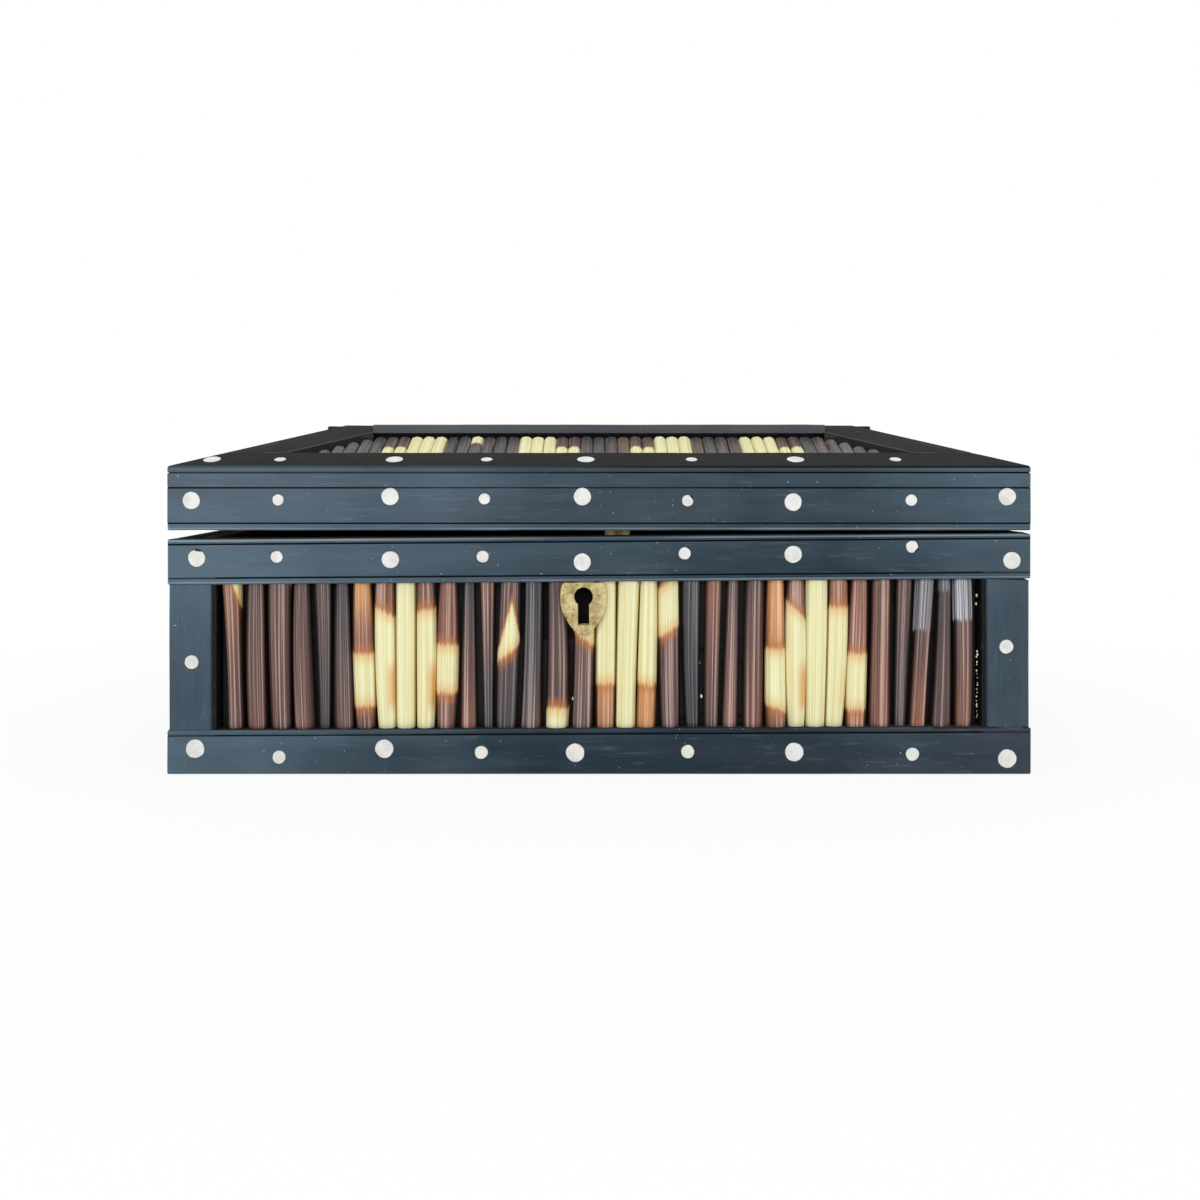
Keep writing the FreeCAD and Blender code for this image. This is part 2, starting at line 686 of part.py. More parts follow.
# Eave strips, mitred at the hips, with eased edges and a scribed line
eave_outline = [(-far, 0), (0, 0), (0, eave_height - eave_scribe - scribe_width / 2),
                (scribe_depth, eave_height - eave_scribe),
                (0, eave_height - eave_scribe + scribe_width / 2),
                (0, eave_height - edge_ease), (edge_ease, eave_height + edge_ease),
                (edge_ease, far), (-far, far)]
roof_discs = []
frieze_discs = []
for side in sides:
    width = eave_width if side in long_sides else side_eave_width
    mitre = width * side.other_run / side.run
    plan = [(0, 0), (side.length, 0), (side.length - mitre, width), (mitre, width)]
    corners = [side.at(place, depth, joint_height) for place, depth in plan]
    waste = face([side.at(-far, depth, joint_height + up_by) for depth, up_by in eave_outline])
    waste = waste.extrude(Vector(side.along[0], side.along[1], 0) * (3 * far))
    eave = face(corners).extrude(up * far).common(strip_layer).cut(waste)
    slope = math.atan2(roof_rise, side.run)
    outward = Vector(-side.inward[0] * math.sin(slope), -side.inward[1] * math.sin(slope),
                     math.cos(slope))
    places = spread(roof_disc_end_margin, side.length - roof_disc_end_margin)
    if side is front:
        places = [front_corner_disc_place] + strayed(places, front_roof_disc_strays)
    pockets = []
    for index, place in enumerate(places):
        radius = roof_disc_radii[index % 2]
        centre = side.at(place, width / 2, side.roof(width / 2))
        disc, pocket = disc_pair(centre, outward, radius)
        roof_discs.append(disc)
        pockets.append(pocket)
    save("eave_strip_" + side.name, [eave.cut(pockets)])

    # Frieze strip under the eave strip
    places = wall_disc_places(side, front_frieze_disc_strays)
    rises = front_frieze_disc_rises if side is front else (frieze_disc_rise,)
    heights = [lid_bottom + rise for rise in cycled(rises, len(places))]
    discs, pockets = disc_row(side, places, heights, frieze_disc_radii)
    frieze_discs.extend(discs)
    outline = strip_outline(frieze_height, () if side is back else (frieze_scribe_bottom,))
    frieze = strip(side, outline, lambda place: lid_bottom).cut(pockets)
    if side is back:
        frieze = frieze.cut(lid_gains + lid_screw_seats + [lid_bevel])
    save("frieze_strip_" + side.name, [frieze])

    # Board under the slope
    plan = [(0, 0), (side.length, 0), (side.length - side.other_run, side.run),
            (side.other_run, side.run)]
    corners = [side.at(place, depth, 0) for place, depth in plan]
    save("roof_board_" + side.name, [face(corners).extrude(up * far).common(board_layer)])
save("frieze_discs", frieze_discs)
save("top_board", [box(-top_half_width, top_half_width, -top_half_depth, top_half_depth,
                       0, far).common(board_layer)])

# Hip strips run over the four corners and on to the flat of the top
rail_corner = (half_width - side_eave_width, half_depth - eave_width)
frame_outer = (half_width - frame_depth_side, half_depth - frame_depth_front)
frame_inner = (frame_outer[0] - hip_reach_x, frame_outer[1] - hip_reach_y)
hip_plan = [rail_corner, (rail_corner[0] - hip_reach_x, rail_corner[1]),
            (frame_inner[0], frame_outer[1]), frame_inner, (frame_outer[0], frame_inner[1]),
            (rail_corner[0], rail_corner[1] - hip_reach_y)]
hip_strips = []
for sign_x in (1, -1):
    for sign_y in (1, -1):
        plan = [(sign_x * x, sign_y * y) for x, y in hip_plan]
        hip_strips.append(plan_prism(plan, joint_height, far).common(strip_layer))
save("hip_strips", hip_strips)

# Top frame: each strip has a lip over the ends of the slope's quills
frame_strips = []
top_pockets = []
top_discs = []
lip_low = roof_top - top_lip_thickness
for sign in (1, -1):
    for lengthwise in (True, False):
        outer = frame_outer[1] if lengthwise else frame_outer[0]
        inner = frame_inner[1] if lengthwise else frame_inner[0]
        half = frame_inner[0] if lengthwise else frame_inner[1]
        spans = ((outer, lip_low), (outer - top_lip_depth, joint_height))
        solids = []
        for edge, low in spans:
            near, away = sorted((sign * inner, sign * edge))
            if lengthwise:
                solids.append(box(-half, half, near, away, low, roof_top))
            else:
                solids.append(box(near, away, -half, half, low, roof_top))
        piece = solids[0].fuse(solids[1]).removeSplitter().cut(under_strips)
        middle = sign * (outer + inner) / 2
        pockets = []
        places = spread(top_disc_margin, 2 * half - top_disc_margin)
        for index, place in enumerate(places):
            spot = (place - half, middle) if lengthwise else (middle, place - half)
            disc, pocket = disc_pair(Vector(spot[0], spot[1], roof_top), up,
                                     roof_disc_radii[index % 2])
            top_discs.append(disc)
            pockets.append(pocket)
        frame_strips.append(piece.cut(pockets))
save("top_frame", frame_strips)
save("roof_discs", roof_discs)
save("top_discs", top_discs)

# Quills of the slopes, cut shorter where a hip strip crosses them
for side in sides:
    width = eave_width if side in long_sides else side_eave_width
    frame_depth = frame_depth_front if side in long_sides else frame_depth_side
    slope = math.atan2(roof_rise, side.run)
    hip_reach = hip_half_width * hip_plan_length / side.run
    sink = roof_strip_drop * math.cos(slope) + quill_seat - roof_quill_radius
    lean = roof_quill_radius * math.sin(slope)
    direction = Vector(side.inward[0] * math.cos(slope), side.inward[1] * math.cos(slope),
                       math.sin(slope))
    count = 2 * int(side.length / 2 / roof_quill_pitch) + 1
    quills = []
    for index in range(count):
        place = side.length / 2 + (index - (count - 1) / 2) * roof_quill_pitch
        from_end = min(place, side.length - place) - roof_quill_pitch / 2
        hip_depth = (from_end - hip_reach) * side.run / side.other_run
        depth0 = width + lean
        depth1 = min(frame_depth, hip_depth) - roof_quill_end_gap
        if depth1 - depth0 < roof_quill_shortest:
            continue
        start = side.at(place, depth0 + math.sin(slope) * sink,
                        side.roof(depth0) - math.cos(slope) * sink)
        length = (depth1 - depth0) / math.cos(slope) - math.sin(slope) * sink
        quills.append(Part.makeCylinder(roof_quill_radius, length, start, direction))
    save("roof_quills_" + side.name, [Part.makeCompound(quills).cut(under_strips)])

# Quills of the flat top
top_quill_z = roof_top - roof_strip_drop + roof_quill_radius - quill_seat
count = int(2 * frame_inner[0] / roof_quill_pitch)
quills = []
for index in range(count):
    x = (index - (count - 1) / 2) * roof_quill_pitch
    start = Vector(x, -frame_inner[1], top_quill_z)
    quills.append(Part.makeCylinder(roof_quill_radius, 2 * frame_inner[1], start,
                                    Vector(0, 1, 0)))
save("top_quills", [Part.makeCompound(quills).cut(under_strips)])

# Inner boards of the lid, with the catch let into the front one
lid_boards = []
catch_plate_top = lid_bottom + catch_plate_thickness
catch_middle = (catch_x0 + catch_x1) / 2
catch_y0 = case_outer
catch_y1 = case_inner
catch_plate = box(catch_middle - catch_plate_half_width, catch_middle + catch_plate_half_width,
                  catch_y0, catch_y1, lid_bottom, catch_plate_top)
catch_screw_shift = (catch_width + 2 * catch_plate_half_width) / 4
catch_screw_y = (catch_y0 + catch_y1) / 2
catch_heads = [Vector(catch_middle + sign * catch_screw_shift, catch_screw_y, lid_bottom)
               for sign in (-1, 1)]
catch_seats = [screw_seat(head, up, catch_screw_length) for head in catch_heads]
for side in sides:
    place0 = strip_thickness if side in long_sides else lining_face
    board = wall_panel(side, place0, side.length - place0, strip_thickness, lining_face,
                       lambda place: lid_bottom, lambda place: roof_top)
    board = board.common(under_boards)
    if side is front:
        board = board.cut([catch_plate] + catch_seats)
    elif side is back:
        board = board.cut(lid_gains)
    lid_boards.append(board)
save("lid_boards", lid_boards)

lug = box(catch_x0, catch_x1, catch_face, catch_face + catch_thickness, catch_foot,
          lid_bottom + catch_plate_thickness / 2)
notch = box(catch_x0, catch_x0 + catch_notch_depth, catch_face, catch_face + catch_thickness,
            bolt_low - bolt_play, bolt_top + bolt_play)
save("lid_catch", [catch_plate.cut(catch_seats).fuse(lug.cut(notch)).removeSplitter()])
save("catch_screws", [wood_screw(head, up, catch_screw_length) for head in catch_heads])
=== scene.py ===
import bmesh
import bpy
import math
import random
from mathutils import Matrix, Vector, noise


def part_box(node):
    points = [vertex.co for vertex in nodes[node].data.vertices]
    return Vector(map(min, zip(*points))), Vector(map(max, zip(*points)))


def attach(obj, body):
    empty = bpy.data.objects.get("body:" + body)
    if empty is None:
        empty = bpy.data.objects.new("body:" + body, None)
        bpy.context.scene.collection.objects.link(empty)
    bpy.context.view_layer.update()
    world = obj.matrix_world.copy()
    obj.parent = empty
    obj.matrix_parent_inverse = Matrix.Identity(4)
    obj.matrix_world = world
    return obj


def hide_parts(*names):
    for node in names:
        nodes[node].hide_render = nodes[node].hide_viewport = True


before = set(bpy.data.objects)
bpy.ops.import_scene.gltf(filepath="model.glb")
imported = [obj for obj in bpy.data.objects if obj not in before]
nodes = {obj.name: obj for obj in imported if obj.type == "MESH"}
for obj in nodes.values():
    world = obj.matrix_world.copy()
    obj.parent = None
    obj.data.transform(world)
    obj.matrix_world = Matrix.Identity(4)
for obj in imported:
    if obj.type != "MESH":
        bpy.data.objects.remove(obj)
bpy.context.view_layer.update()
scene = bpy.context.scene

# Thin boards of the base: the bottom and the four walls that the quills are glued to.
# Plain reddish wood, planed by hand, glued at the corners, and left without polish but for
# their outer faces: these are black, for the pitch that holds the quills and as painted shade in
# the gaps between them.

HALF_WIDTH, HALF_DEPTH = 0.120, 0.085
QUILL_BED, KEYHOLE_SHADE_REACH = 0.0072, 0.0115     # how far in the black reaches: pitch and painted shade by the quills, painted shade in the keyhole


class Flow:
    """A value on its way through one finish; Python's operators on it add Math nodes."""

    def __init__(self, tree, socket=None):
        self.tree = tree
        self.socket = socket

    def add(self, kind, sockets=None, out=0, **settings):
        """Any node: its settings first, then the values or links of its sockets."""
        node = self.tree.nodes.new("ShaderNode" + kind)
        for name, value in settings.items():
            setattr(node, name, value)
        for key, value in (sockets or {}).items():
            if isinstance(value, Flow):
                self.tree.links.new(value.socket, node.inputs[key])
            else:
                node.inputs[key].default_value = value
        return Flow(self.tree, node.outputs[out] if node.outputs else None)

    def maths(self, operation, *values):
        return self.add("Math", dict(enumerate(values)), operation=operation)

    def __add__(self, other):
        return self.maths("ADD", self, other)

    def __sub__(self, other):
        return self.maths("SUBTRACT", self, other)

    def __rsub__(self, other):
        return self.maths("SUBTRACT", other, self)

    def __mul__(self, other):
        return self.maths("MULTIPLY", self, other)

    def __pow__(self, other):
        return self.maths("POWER", self, other)

    def __abs__(self):
        return self.maths("ABSOLUTE", self)

    __radd__ = __add__
    __rmul__ = __mul__

    def least(self, other):
        return self.maths("MINIMUM", self, other)

    def most(self, other):
        return self.maths("MAXIMUM", self, other)

    def rise(self, low, high):
        """0 below low and 1 above high, with a soft change between."""
        return self.add("MapRange", {"Value": self, "From Min": low, "From Max": high},
                        interpolation_type="SMOOTHSTEP")

    def part(self, axis):
        return self.add("SeparateXYZ", {"Vector": self}, out=axis)

    def drawn_out(self, x, y, z):
        return self.add("VectorMath", {0: self, 1: (x, y, z)}, operation="MULTIPLY")

    def cloud(self, scale, detail=3.0, roughness=0.55):
        return self.add("TexNoise", {"Vector": self, "Scale": scale, "Detail": detail,
                                     "Roughness": roughness}, out="Fac")

    def shade(self, first, second, amount):
        return self.add("Mix", {0: amount, 6: first, 7: second}, out=2, data_type="RGBA")

    def toward(self, other, amount):
        """This colour, mixed toward another one."""
        return self.shade(self, other, amount)

    def attribute(self, name):
        return self.add("Attribute", out="Fac", attribute_name=name)

    def bump(self, distance, strength=1.0):
        return self.add("Bump", {"Height": self, "Distance": distance, "Strength": strength},
                        out="Normal")


def colour(red, green, blue):
    """A colour as the eye reads it, 0 to 255, in the shader's own scale."""
    def linear(value):
        value /= 255
        return value / 12.92 if value <= 0.04045 else ((value + 0.055) / 1.055) ** 2.4
    return (linear(red), linear(green), linear(blue), 1)


def finish(name, fixed, paint):
    """A material: fixed sockets as given, and what paint works out over the surface."""
    material = bpy.data.materials.new(name)
    material.use_nodes = True
    material.node_tree.nodes.clear()
    flow = Flow(material.node_tree)
    shader = flow.add("BsdfPrincipled", {**fixed, **paint(flow)}, out="BSDF")
    flow.add("OutputMaterial", {"Surface": shader})
    return material


def coat(node, material):
    """Give a piece of the frame its finish as it is."""
    for holder in nodes[node].material_slots:
        holder.material = material


def near_outer_face(place, reach=QUILL_BED):
    """1 from the outer face of the box in to a reach, and 0 further inside."""
    inset = (HALF_WIDTH - abs(place.part(0))).least(HALF_DEPTH - abs(place.part(1)))
    return 1 - inset.rise(reach, reach + 0.0004)


def board_finish(name, stretch, bed=False):
    """Plain wood that runs one way, black near the outer face for pitch and painted shade between
    quills.
    A bed is black also on the side that looks up, under quills, for the same pitch and painted
    shade.
    """
    def paint(flow):
        place = flow.add("TexCoord", out="Object")
        along = place.drawn_out(*stretch)
        figure = along.cloud(90.0, 5.0, 0.62)
        pores = along.cloud(420.0, 2.0, 0.7).rise(0.56, 0.74)
        stain = place.cloud(22.0, 3.0).rise(0.35, 0.75)
        body = flow.shade(colour(150, 104, 66), colour(106, 66, 40), figure.rise(0.3, 0.72))
        body = body.toward(colour(70, 42, 27), pores * 0.55)
        body = body.toward(colour(88, 58, 40), stain * 0.35)
        # black: the pitch the quills are set in, and painted shade in the gaps between them
        black = near_outer_face(place)
        if bed:
            black = black.most(flow.add("TexCoord", out="Normal").part(2).rise(0.3, 0.4))
        body = body.toward(colour(7, 6, 6), black)
        height = figure * 0.4 - pores * 0.6
        return {"Base Color": body, "Roughness": 0.52 + pores * 0.25 + stain * 0.1,
                "Normal": height.bump(0.00025)}
    return finish(name, {"Specular IOR Level": 0.35}, paint)


board_lengthwise = board_finish("board_along_front", (0.12, 1.0, 1.0))
board_crosswise = board_finish("board_along_sides", (1.0, 0.12, 1.0))
for node in ("bottom_board", "board_front", "board_back"):
    coat(node, board_lengthwise)
for node in ("board_left", "board_right"):
    coat(node, board_crosswise)

# Ebony strips of the base: a foot strip, a rim strip and the corner stiles of each wall.
# Sawn, planed and scribed with a fine line near each edge, oiled black, glued to the boards.
# The edges are rubbed round, and no face is quite flat. Dark glue shows round the bone discs.

GRAIN = ((0.09, 1.0, 1.0), (1.0, 0.09, 1.0), (1.0, 1.0, 0.09))     # drawn out along x, y or z
FADE_FROM = (0.1055, 0.0705)        # where lines fade toward the corners, on front and side
JOINT = 0.07985                     # height at which frieze strip and eave strip meet
EAVE_LINE = 0.081                   # just under the line that is scribed over that joint
RIM_LINE = 0.058                    # just over the line that is scribed low on the rim strip


def ebony_finish(name, stretch, face, dark, worn, gloss, open_grain=0.12, level=0.0, sheen_lean=6.3):
    """Ebony that runs one way: fine grain, faint purple and grey stains, and scribed lines
    darkened as painted shade in their grooves.
    It's painted paler toward the upper left and toward the top: a painted sheen of the light
    there.
    Without a stretch the grain follows the four hips. Lines fade toward the ends of foot and
    rim and at the left of the eave, and the glue in the lid's joint shows less in the middle."""
    hips = stretch is None
    stretch = stretch or GRAIN[0]
    lengthwise = 0 if stretch[0] < 0.5 else 1
    fade = FADE_FROM[lengthwise]

    def paint(flow):
        place = flow.add("TexCoord", out="Object")
        along = place.drawn_out(*stretch)
        if hips:
            x, y = abs(place.part(0)), abs(place.part(1))
            along = flow.add("CombineXYZ", {"X": (x * 0.775 + y * 0.632) * 0.09,
                                            "Y": y * 0.775 - x * 0.632, "Z": place.part(2) * 0.3})
        grain = along.cloud(260.0, 4.0, 0.6)
        hair = along.cloud(900.0, 2.0, 0.65)
        cloudy = place.cloud(28.0, 3.0, 0.5)
        purple = along.cloud(46.0, 2.0).rise(0.56, 0.76)
        scratch = along.cloud(1500.0, 1.0, 0.5).rise(0.75, 0.83)
        nick = place.cloud(1150.0, 1.0, 0.5).rise(0.78, 0.8)
        # where the scribed lines' grooves are painted dark, as the shade in them
        groove_shade = flow.attribute("scribe") * (0.4 + along.cloud(75.0, 2.0).rise(0.4, 0.52))
        height = place.part(2)
        low = 1 - height.rise(RIM_LINE, RIM_LINE + 0.002)
        ends = abs(place.part(lengthwise)).rise(fade, fade + 0.002) * low
        left = 1 - place.part(0).rise(-0.03, 0.05)
        worn_line = height.rise(EAVE_LINE, EAVE_LINE + 0.0005) * left * 0.6
        closed = (1 - abs(height - JOINT).rise(0.0006, 0.001)) * (
            1 - abs(place.part(0) + 0.012).rise(0.03, 0.06))
        groove_shade = groove_shade * (1 - ends * 0.85) * (1 - worn_line)
        glue = flow.attribute("glue") * (1 - closed * 0.62)
        # paler rounded edges: real wear, and a painted highlight where light catches them
        edge_band = flow.attribute("edge_band") * along.cloud(130.0, 2.0).rise(0.3, 0.6)
        # painted sheen: paler toward the upper left and the top, as the light falls there
        painted_sheen = level + abs(place.part(0) - 0.042) * sheen_lean + (height - 0.05) * 5.0
        body = flow.shade(dark, face, painted_sheen + (grain - 0.5) * 0.5 + (cloudy - 0.5) * 0.9)
        body = body.toward(colour(72, 64, 76), purple * 0.32)
        body = body.toward(worn, hair.rise(0.55, 0.8) * open_grain + edge_band * 0.6)
        body = body.toward(worn, scratch * 0.14 + nick * 0.9)
        body = body.toward(colour(8, 10, 13), (groove_shade.least(1.0) * 0.95).most(glue * 0.85))
        relief = grain * 0.35 + hair * 0.25 - scratch * 0.5
        rough = gloss + cloudy * 0.16 + groove_shade * 0.3 - edge_band * 0.06
        return {"Base Color": body, "Roughness": rough, "Normal": relief.bump(0.00012)}
    return finish(name, {"Specular IOR Level": 0.14 if gloss < 0.6 else 0.05}, paint)


# Black pitch; the same finish is put on the stiles' lips and under the top frame's lip as painted
# shade.
def pitch_and_shade_paint(flow):
    place = flow.add("TexCoord", out="Object")
    crumbs = place.drawn_out(1.0, 1.0, 0.3).cloud(900.0, 2.0, 0.6)
    body = flow.shade(colour(10, 9, 9), colour(40, 40, 36), crumbs.rise(0.55, 0.75))
    return {"Base Color": body, "Roughness": 0.5 + crumbs * 0.2}


# Painted reflection: upright faces take a blue-grey for the sky they mirror, and faces that look
# up a darker grey-brown for what they mirror; both are the same ebony.
upright_reflection_tones = (colour(80, 98, 110), colour(26, 43, 54), colour(140, 156, 166), 0.4)
upward_reflection_tones = (colour(46, 46, 45), colour(28, 28, 27), colour(92, 92, 88), 0.72)
along_finish = [ebony_finish("ebony_along_" + way, GRAIN[axis], *upright_reflection_tones)
                for axis, way in enumerate(("front", "sides"))]
upward_reflection_finish = [ebony_finish("ebony_upward_reflection_" + way, GRAIN[axis], *upward_reflection_tones, level=0.55, sheen_lean=0.0)
                for axis, way in enumerate(("front", "sides"))]
ebony_upright = ebony_finish("ebony_upright", GRAIN[2], *upright_reflection_tones, level=0.5, sheen_lean=1.2)
pitch_and_shade_black = finish("pitch", {"Specular IOR Level": 0.15}, pitch_and_shade_paint)


def merged_copy(node):
    mesh = bmesh.new()
    mesh.from_mesh(nodes[node].data)
    bmesh.ops.remove_doubles(mesh, verts=mesh.verts, dist=2e-6)
    bmesh.ops.dissolve_limit(mesh, angle_limit=0.02, verts=mesh.verts, edges=mesh.edges)
    return mesh


def inset_of(point):
    """How far a point lies behind the nearest outer wall face of the box."""
    return min(HALF_WIDTH - abs(point.x), HALF_DEPTH - abs(point.y))


def islands(mesh):
    """The separate pieces of a mesh, each as a list of its points."""
    left = set(mesh.verts)
    while left:
        stack = [left.pop()]
        found = []
        while stack:
            vertex = stack.pop()
            found.append(vertex)
            for edge in vertex.link_edges:
                other = edge.other_vert(vertex)
                if other in left:
                    left.remove(other)
                    stack.append(other)
        yield found


disc_places = []
for node in ("base_discs", "frieze_discs", "roof_discs", "top_discs"):
    mesh = merged_copy(node)
    for found in islands(mesh):
        centre = sum((v.co for v in found), Vector()) / len(found)
        disc_places.append((centre, 1.1 * max((v.co - centre).length for v in found)))
    mesh.free()


def placed(mesh, name, material, body, slot, *replaced, crease=30, even=False):
    """Finish a piece: smooth but for its creases, with its material and body; its slot is not
    used.
    """
    data = bpy.data.meshes.new(name)
    for shape_face in mesh.faces:
        shape_face.smooth = True
    mesh.to_mesh(data)
    mesh.free()
    data.set_sharp_from_angle(angle=math.radians(crease))
    data.materials.append(material)
    piece = bpy.data.objects.new(name, data)
    scene.collection.objects.link(piece)
    if even:
        piece.modifiers.new("even_shading", "WEIGHTED_NORMAL").keep_sharp = True
    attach(piece, body)
    if replaced:
        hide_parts(*replaced)
    return piece


def eased(mesh, edges, width, layer, segments=2):
    """Round some edges off, and mark the new faces on one layer for the finish."""
    made = bmesh.ops.bevel(mesh, geom=edges, offset=width, offset_type="OFFSET",
                           segments=segments, profile=0.5, affect="EDGES", material=-1,
                           clamp_overlap=True, loop_slide=True)
    for shape_face in made["faces"]:
        shape_face[layer] = 1.0


CUT_STEP, CUT_SHIFT = 0.0045, 0.00013     # cuts across a strip, clear of its own edges
END_CUTS = (0.0006, 0.0013, 0.0022)
RIM_EASE = 0.00022                        # the rounding of a drilled rim or a glued edge
JOINT_REACH = 0.0006
SKIN = 0.002                              # points this near to the outer face are moved
WORN_CORNER, CORNER_DROP = 0.0024, 0.0009


def worked_strip(node, body, axis, material, edge=0.00026, sway=0.00016, shoulder=0.0):
    """An ebony piece from its sawn form: cut across at short steps, made a little uneven,
    its arrises rounded off, and its scribed lines and rounded edges marked for the finish."""
    mesh = merged_copy(node)
    low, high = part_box(node)
    normal = Vector((0, 0, 0))
    normal[axis] = 1
    length = high[axis] - low[axis]
    count = int(length / CUT_STEP)
    places = [low[axis] + index * length / count + CUT_SHIFT for index in range(1, count)]
    for from_end in END_CUTS:
        places += [low[axis] + from_end, high[axis] - from_end]
    for place in places:
        spot = Vector(low)
        spot[axis] = place
        bmesh.ops.bisect_plane(mesh, geom=mesh.verts[:] + mesh.edges[:] + mesh.faces[:],
                               plane_co=spot, plane_no=normal, dist=1e-6)
    scribe = mesh.faces.layers.float.new("scribe")
    edge_band = mesh.faces.layers.float.new("edge_band")
    glue = mesh.faces.layers.float.new("glue")
    for strip_face in mesh.faces:
        steepest = max(abs(value) for value in strip_face.normal)
        # only the two flanks of a scribed line slant like this so near to the outer face
        if 0.8 < steepest < 0.9 and min(inset_of(v.co) for v in strip_face.verts) < 0.001:
            strip_face[scribe] = 1.0
    near = [(centre, reach) for centre, reach in disc_places
            if all(low[i] - 0.004 < centre[i] < high[i] + 0.004 for i in range(3))]

    def by_a_hole(verts):
        return any(all((v.co - centre).length < reach for v in verts) for centre, reach in near)

    def in_the_joint(verts):
        return all(abs(v.co.z - JOINT) < JOINT_REACH for v in verts)

    for strip_face in mesh.faces:
        if by_a_hole(strip_face.verts) or in_the_joint(strip_face.verts):
            strip_face[glue] = 1.0
    sharp = [e for e in mesh.edges if len(e.link_faces) == 2 and e.calc_face_angle(0) > 0.5
             and max(f[scribe] for f in e.link_faces) < 0.5]
    rims = [e for e in sharp if by_a_hole(e.verts) or in_the_joint(e.verts)
            or axis == 2 and abs(e.verts[0].co.z - e.verts[1].co.z) < 0.5 * e.calc_length()]
    eased(mesh, rims, RIM_EASE, glue, 1)
    sharp = [e for e in sharp if e.is_valid and e not in rims]
    if shoulder:
        outer = [e for e in sharp if all(abs(v.co.x) > high.x - 0.0003
                                         and v.co.z > low.z + 0.0008 for v in e.verts)]
        eased(mesh, outer, shoulder, edge_band, 5)
        sharp = [e for e in sharp if e.is_valid and e not in outer]
    eased(mesh, sharp, edge, edge_band)
    for vertex in mesh.verts:
        point = vertex.co
        wave = abs(noise.noise(point * 34 + Vector((0, 0, 7))) + 0.5 * noise.noise(point * 120))
        push = (0.5 + 0.5 * noise.noise(point * 55)) * sway * 0.8
        if HALF_WIDTH - abs(point.x) < SKIN and abs(point.x) < HALF_WIDTH:
            point.x -= math.copysign(push, point.x)
        if HALF_DEPTH - abs(point.y) < SKIN:
            point.y -= math.copysign(push, point.y)
        if abs(point.z - JOINT) < JOINT_REACH:
            continue
        if point.z > high.z - 0.0004:
            point.z -= wave * sway
            if abs(high.z - JOINT) > 0.0003:
                corner = min(abs(point.x) - HALF_WIDTH, abs(point.y) - HALF_DEPTH)
                point.z -= CORNER_DROP * max(0.0, 1 + corner / WORN_CORNER) ** 3
        elif 0.0006 < point.z < low.z + 0.0004:
            point.z += wave * sway
    return placed(mesh, "worked_" + node, material, body, "ebony", node, even=True)


def two_toned(piece, other, wanted=lambda polygon: polygon.normal.z > 0.75):
    """Some faces, those that look up if nothing else is said, take another finish."""
    piece.data.materials.append(other)
    for polygon in piece.data.polygons:
        if wanted(polygon):
            polygon.material_index = len(piece.data.materials) - 1


axes = {"front": 0, "back": 0, "left": 1, "right": 1}
for kind in ("foot_strip_", "rim_strip_"):
    for wall, axis in axes.items():
        piece = worked_strip(kind + wall, "base", axis, along_finish[axis])
        # faces of these strips that look up take the upward painted-reflection finish
        two_toned(piece, upward_reflection_finish[axis])
STILE_LIP = (0.1073, 0.0723)     # where a stile's thin lip over the quills ends
piece = worked_strip("corner_stiles", "base", 2, ebony_upright)
# a stile's thin lip beside the quills is black, for pitch there and as painted shade
two_toned(piece, pitch_and_shade_black, lambda polygon: abs(polygon.center.x) < STILE_LIP[0]
          or abs(polygon.center.y) < STILE_LIP[1])

# Quills of the four walls: porcupine quills cut to length and glued upright, edge to edge.
# Hollow, hard and glossy, finely ridged along their length, dark brown with cream bands.
# They're set so that the bands make the traditional stepped groups of this kind of box.

WIDEST = 0.00305        # the largest radius of a wall quill
NO_END = 3.0            # a place down a quill that is beyond its foot, so that nothing shows there
NO_BAND = (NO_END, NO_END, 0.0, 0.0, 0.0, 0.0)


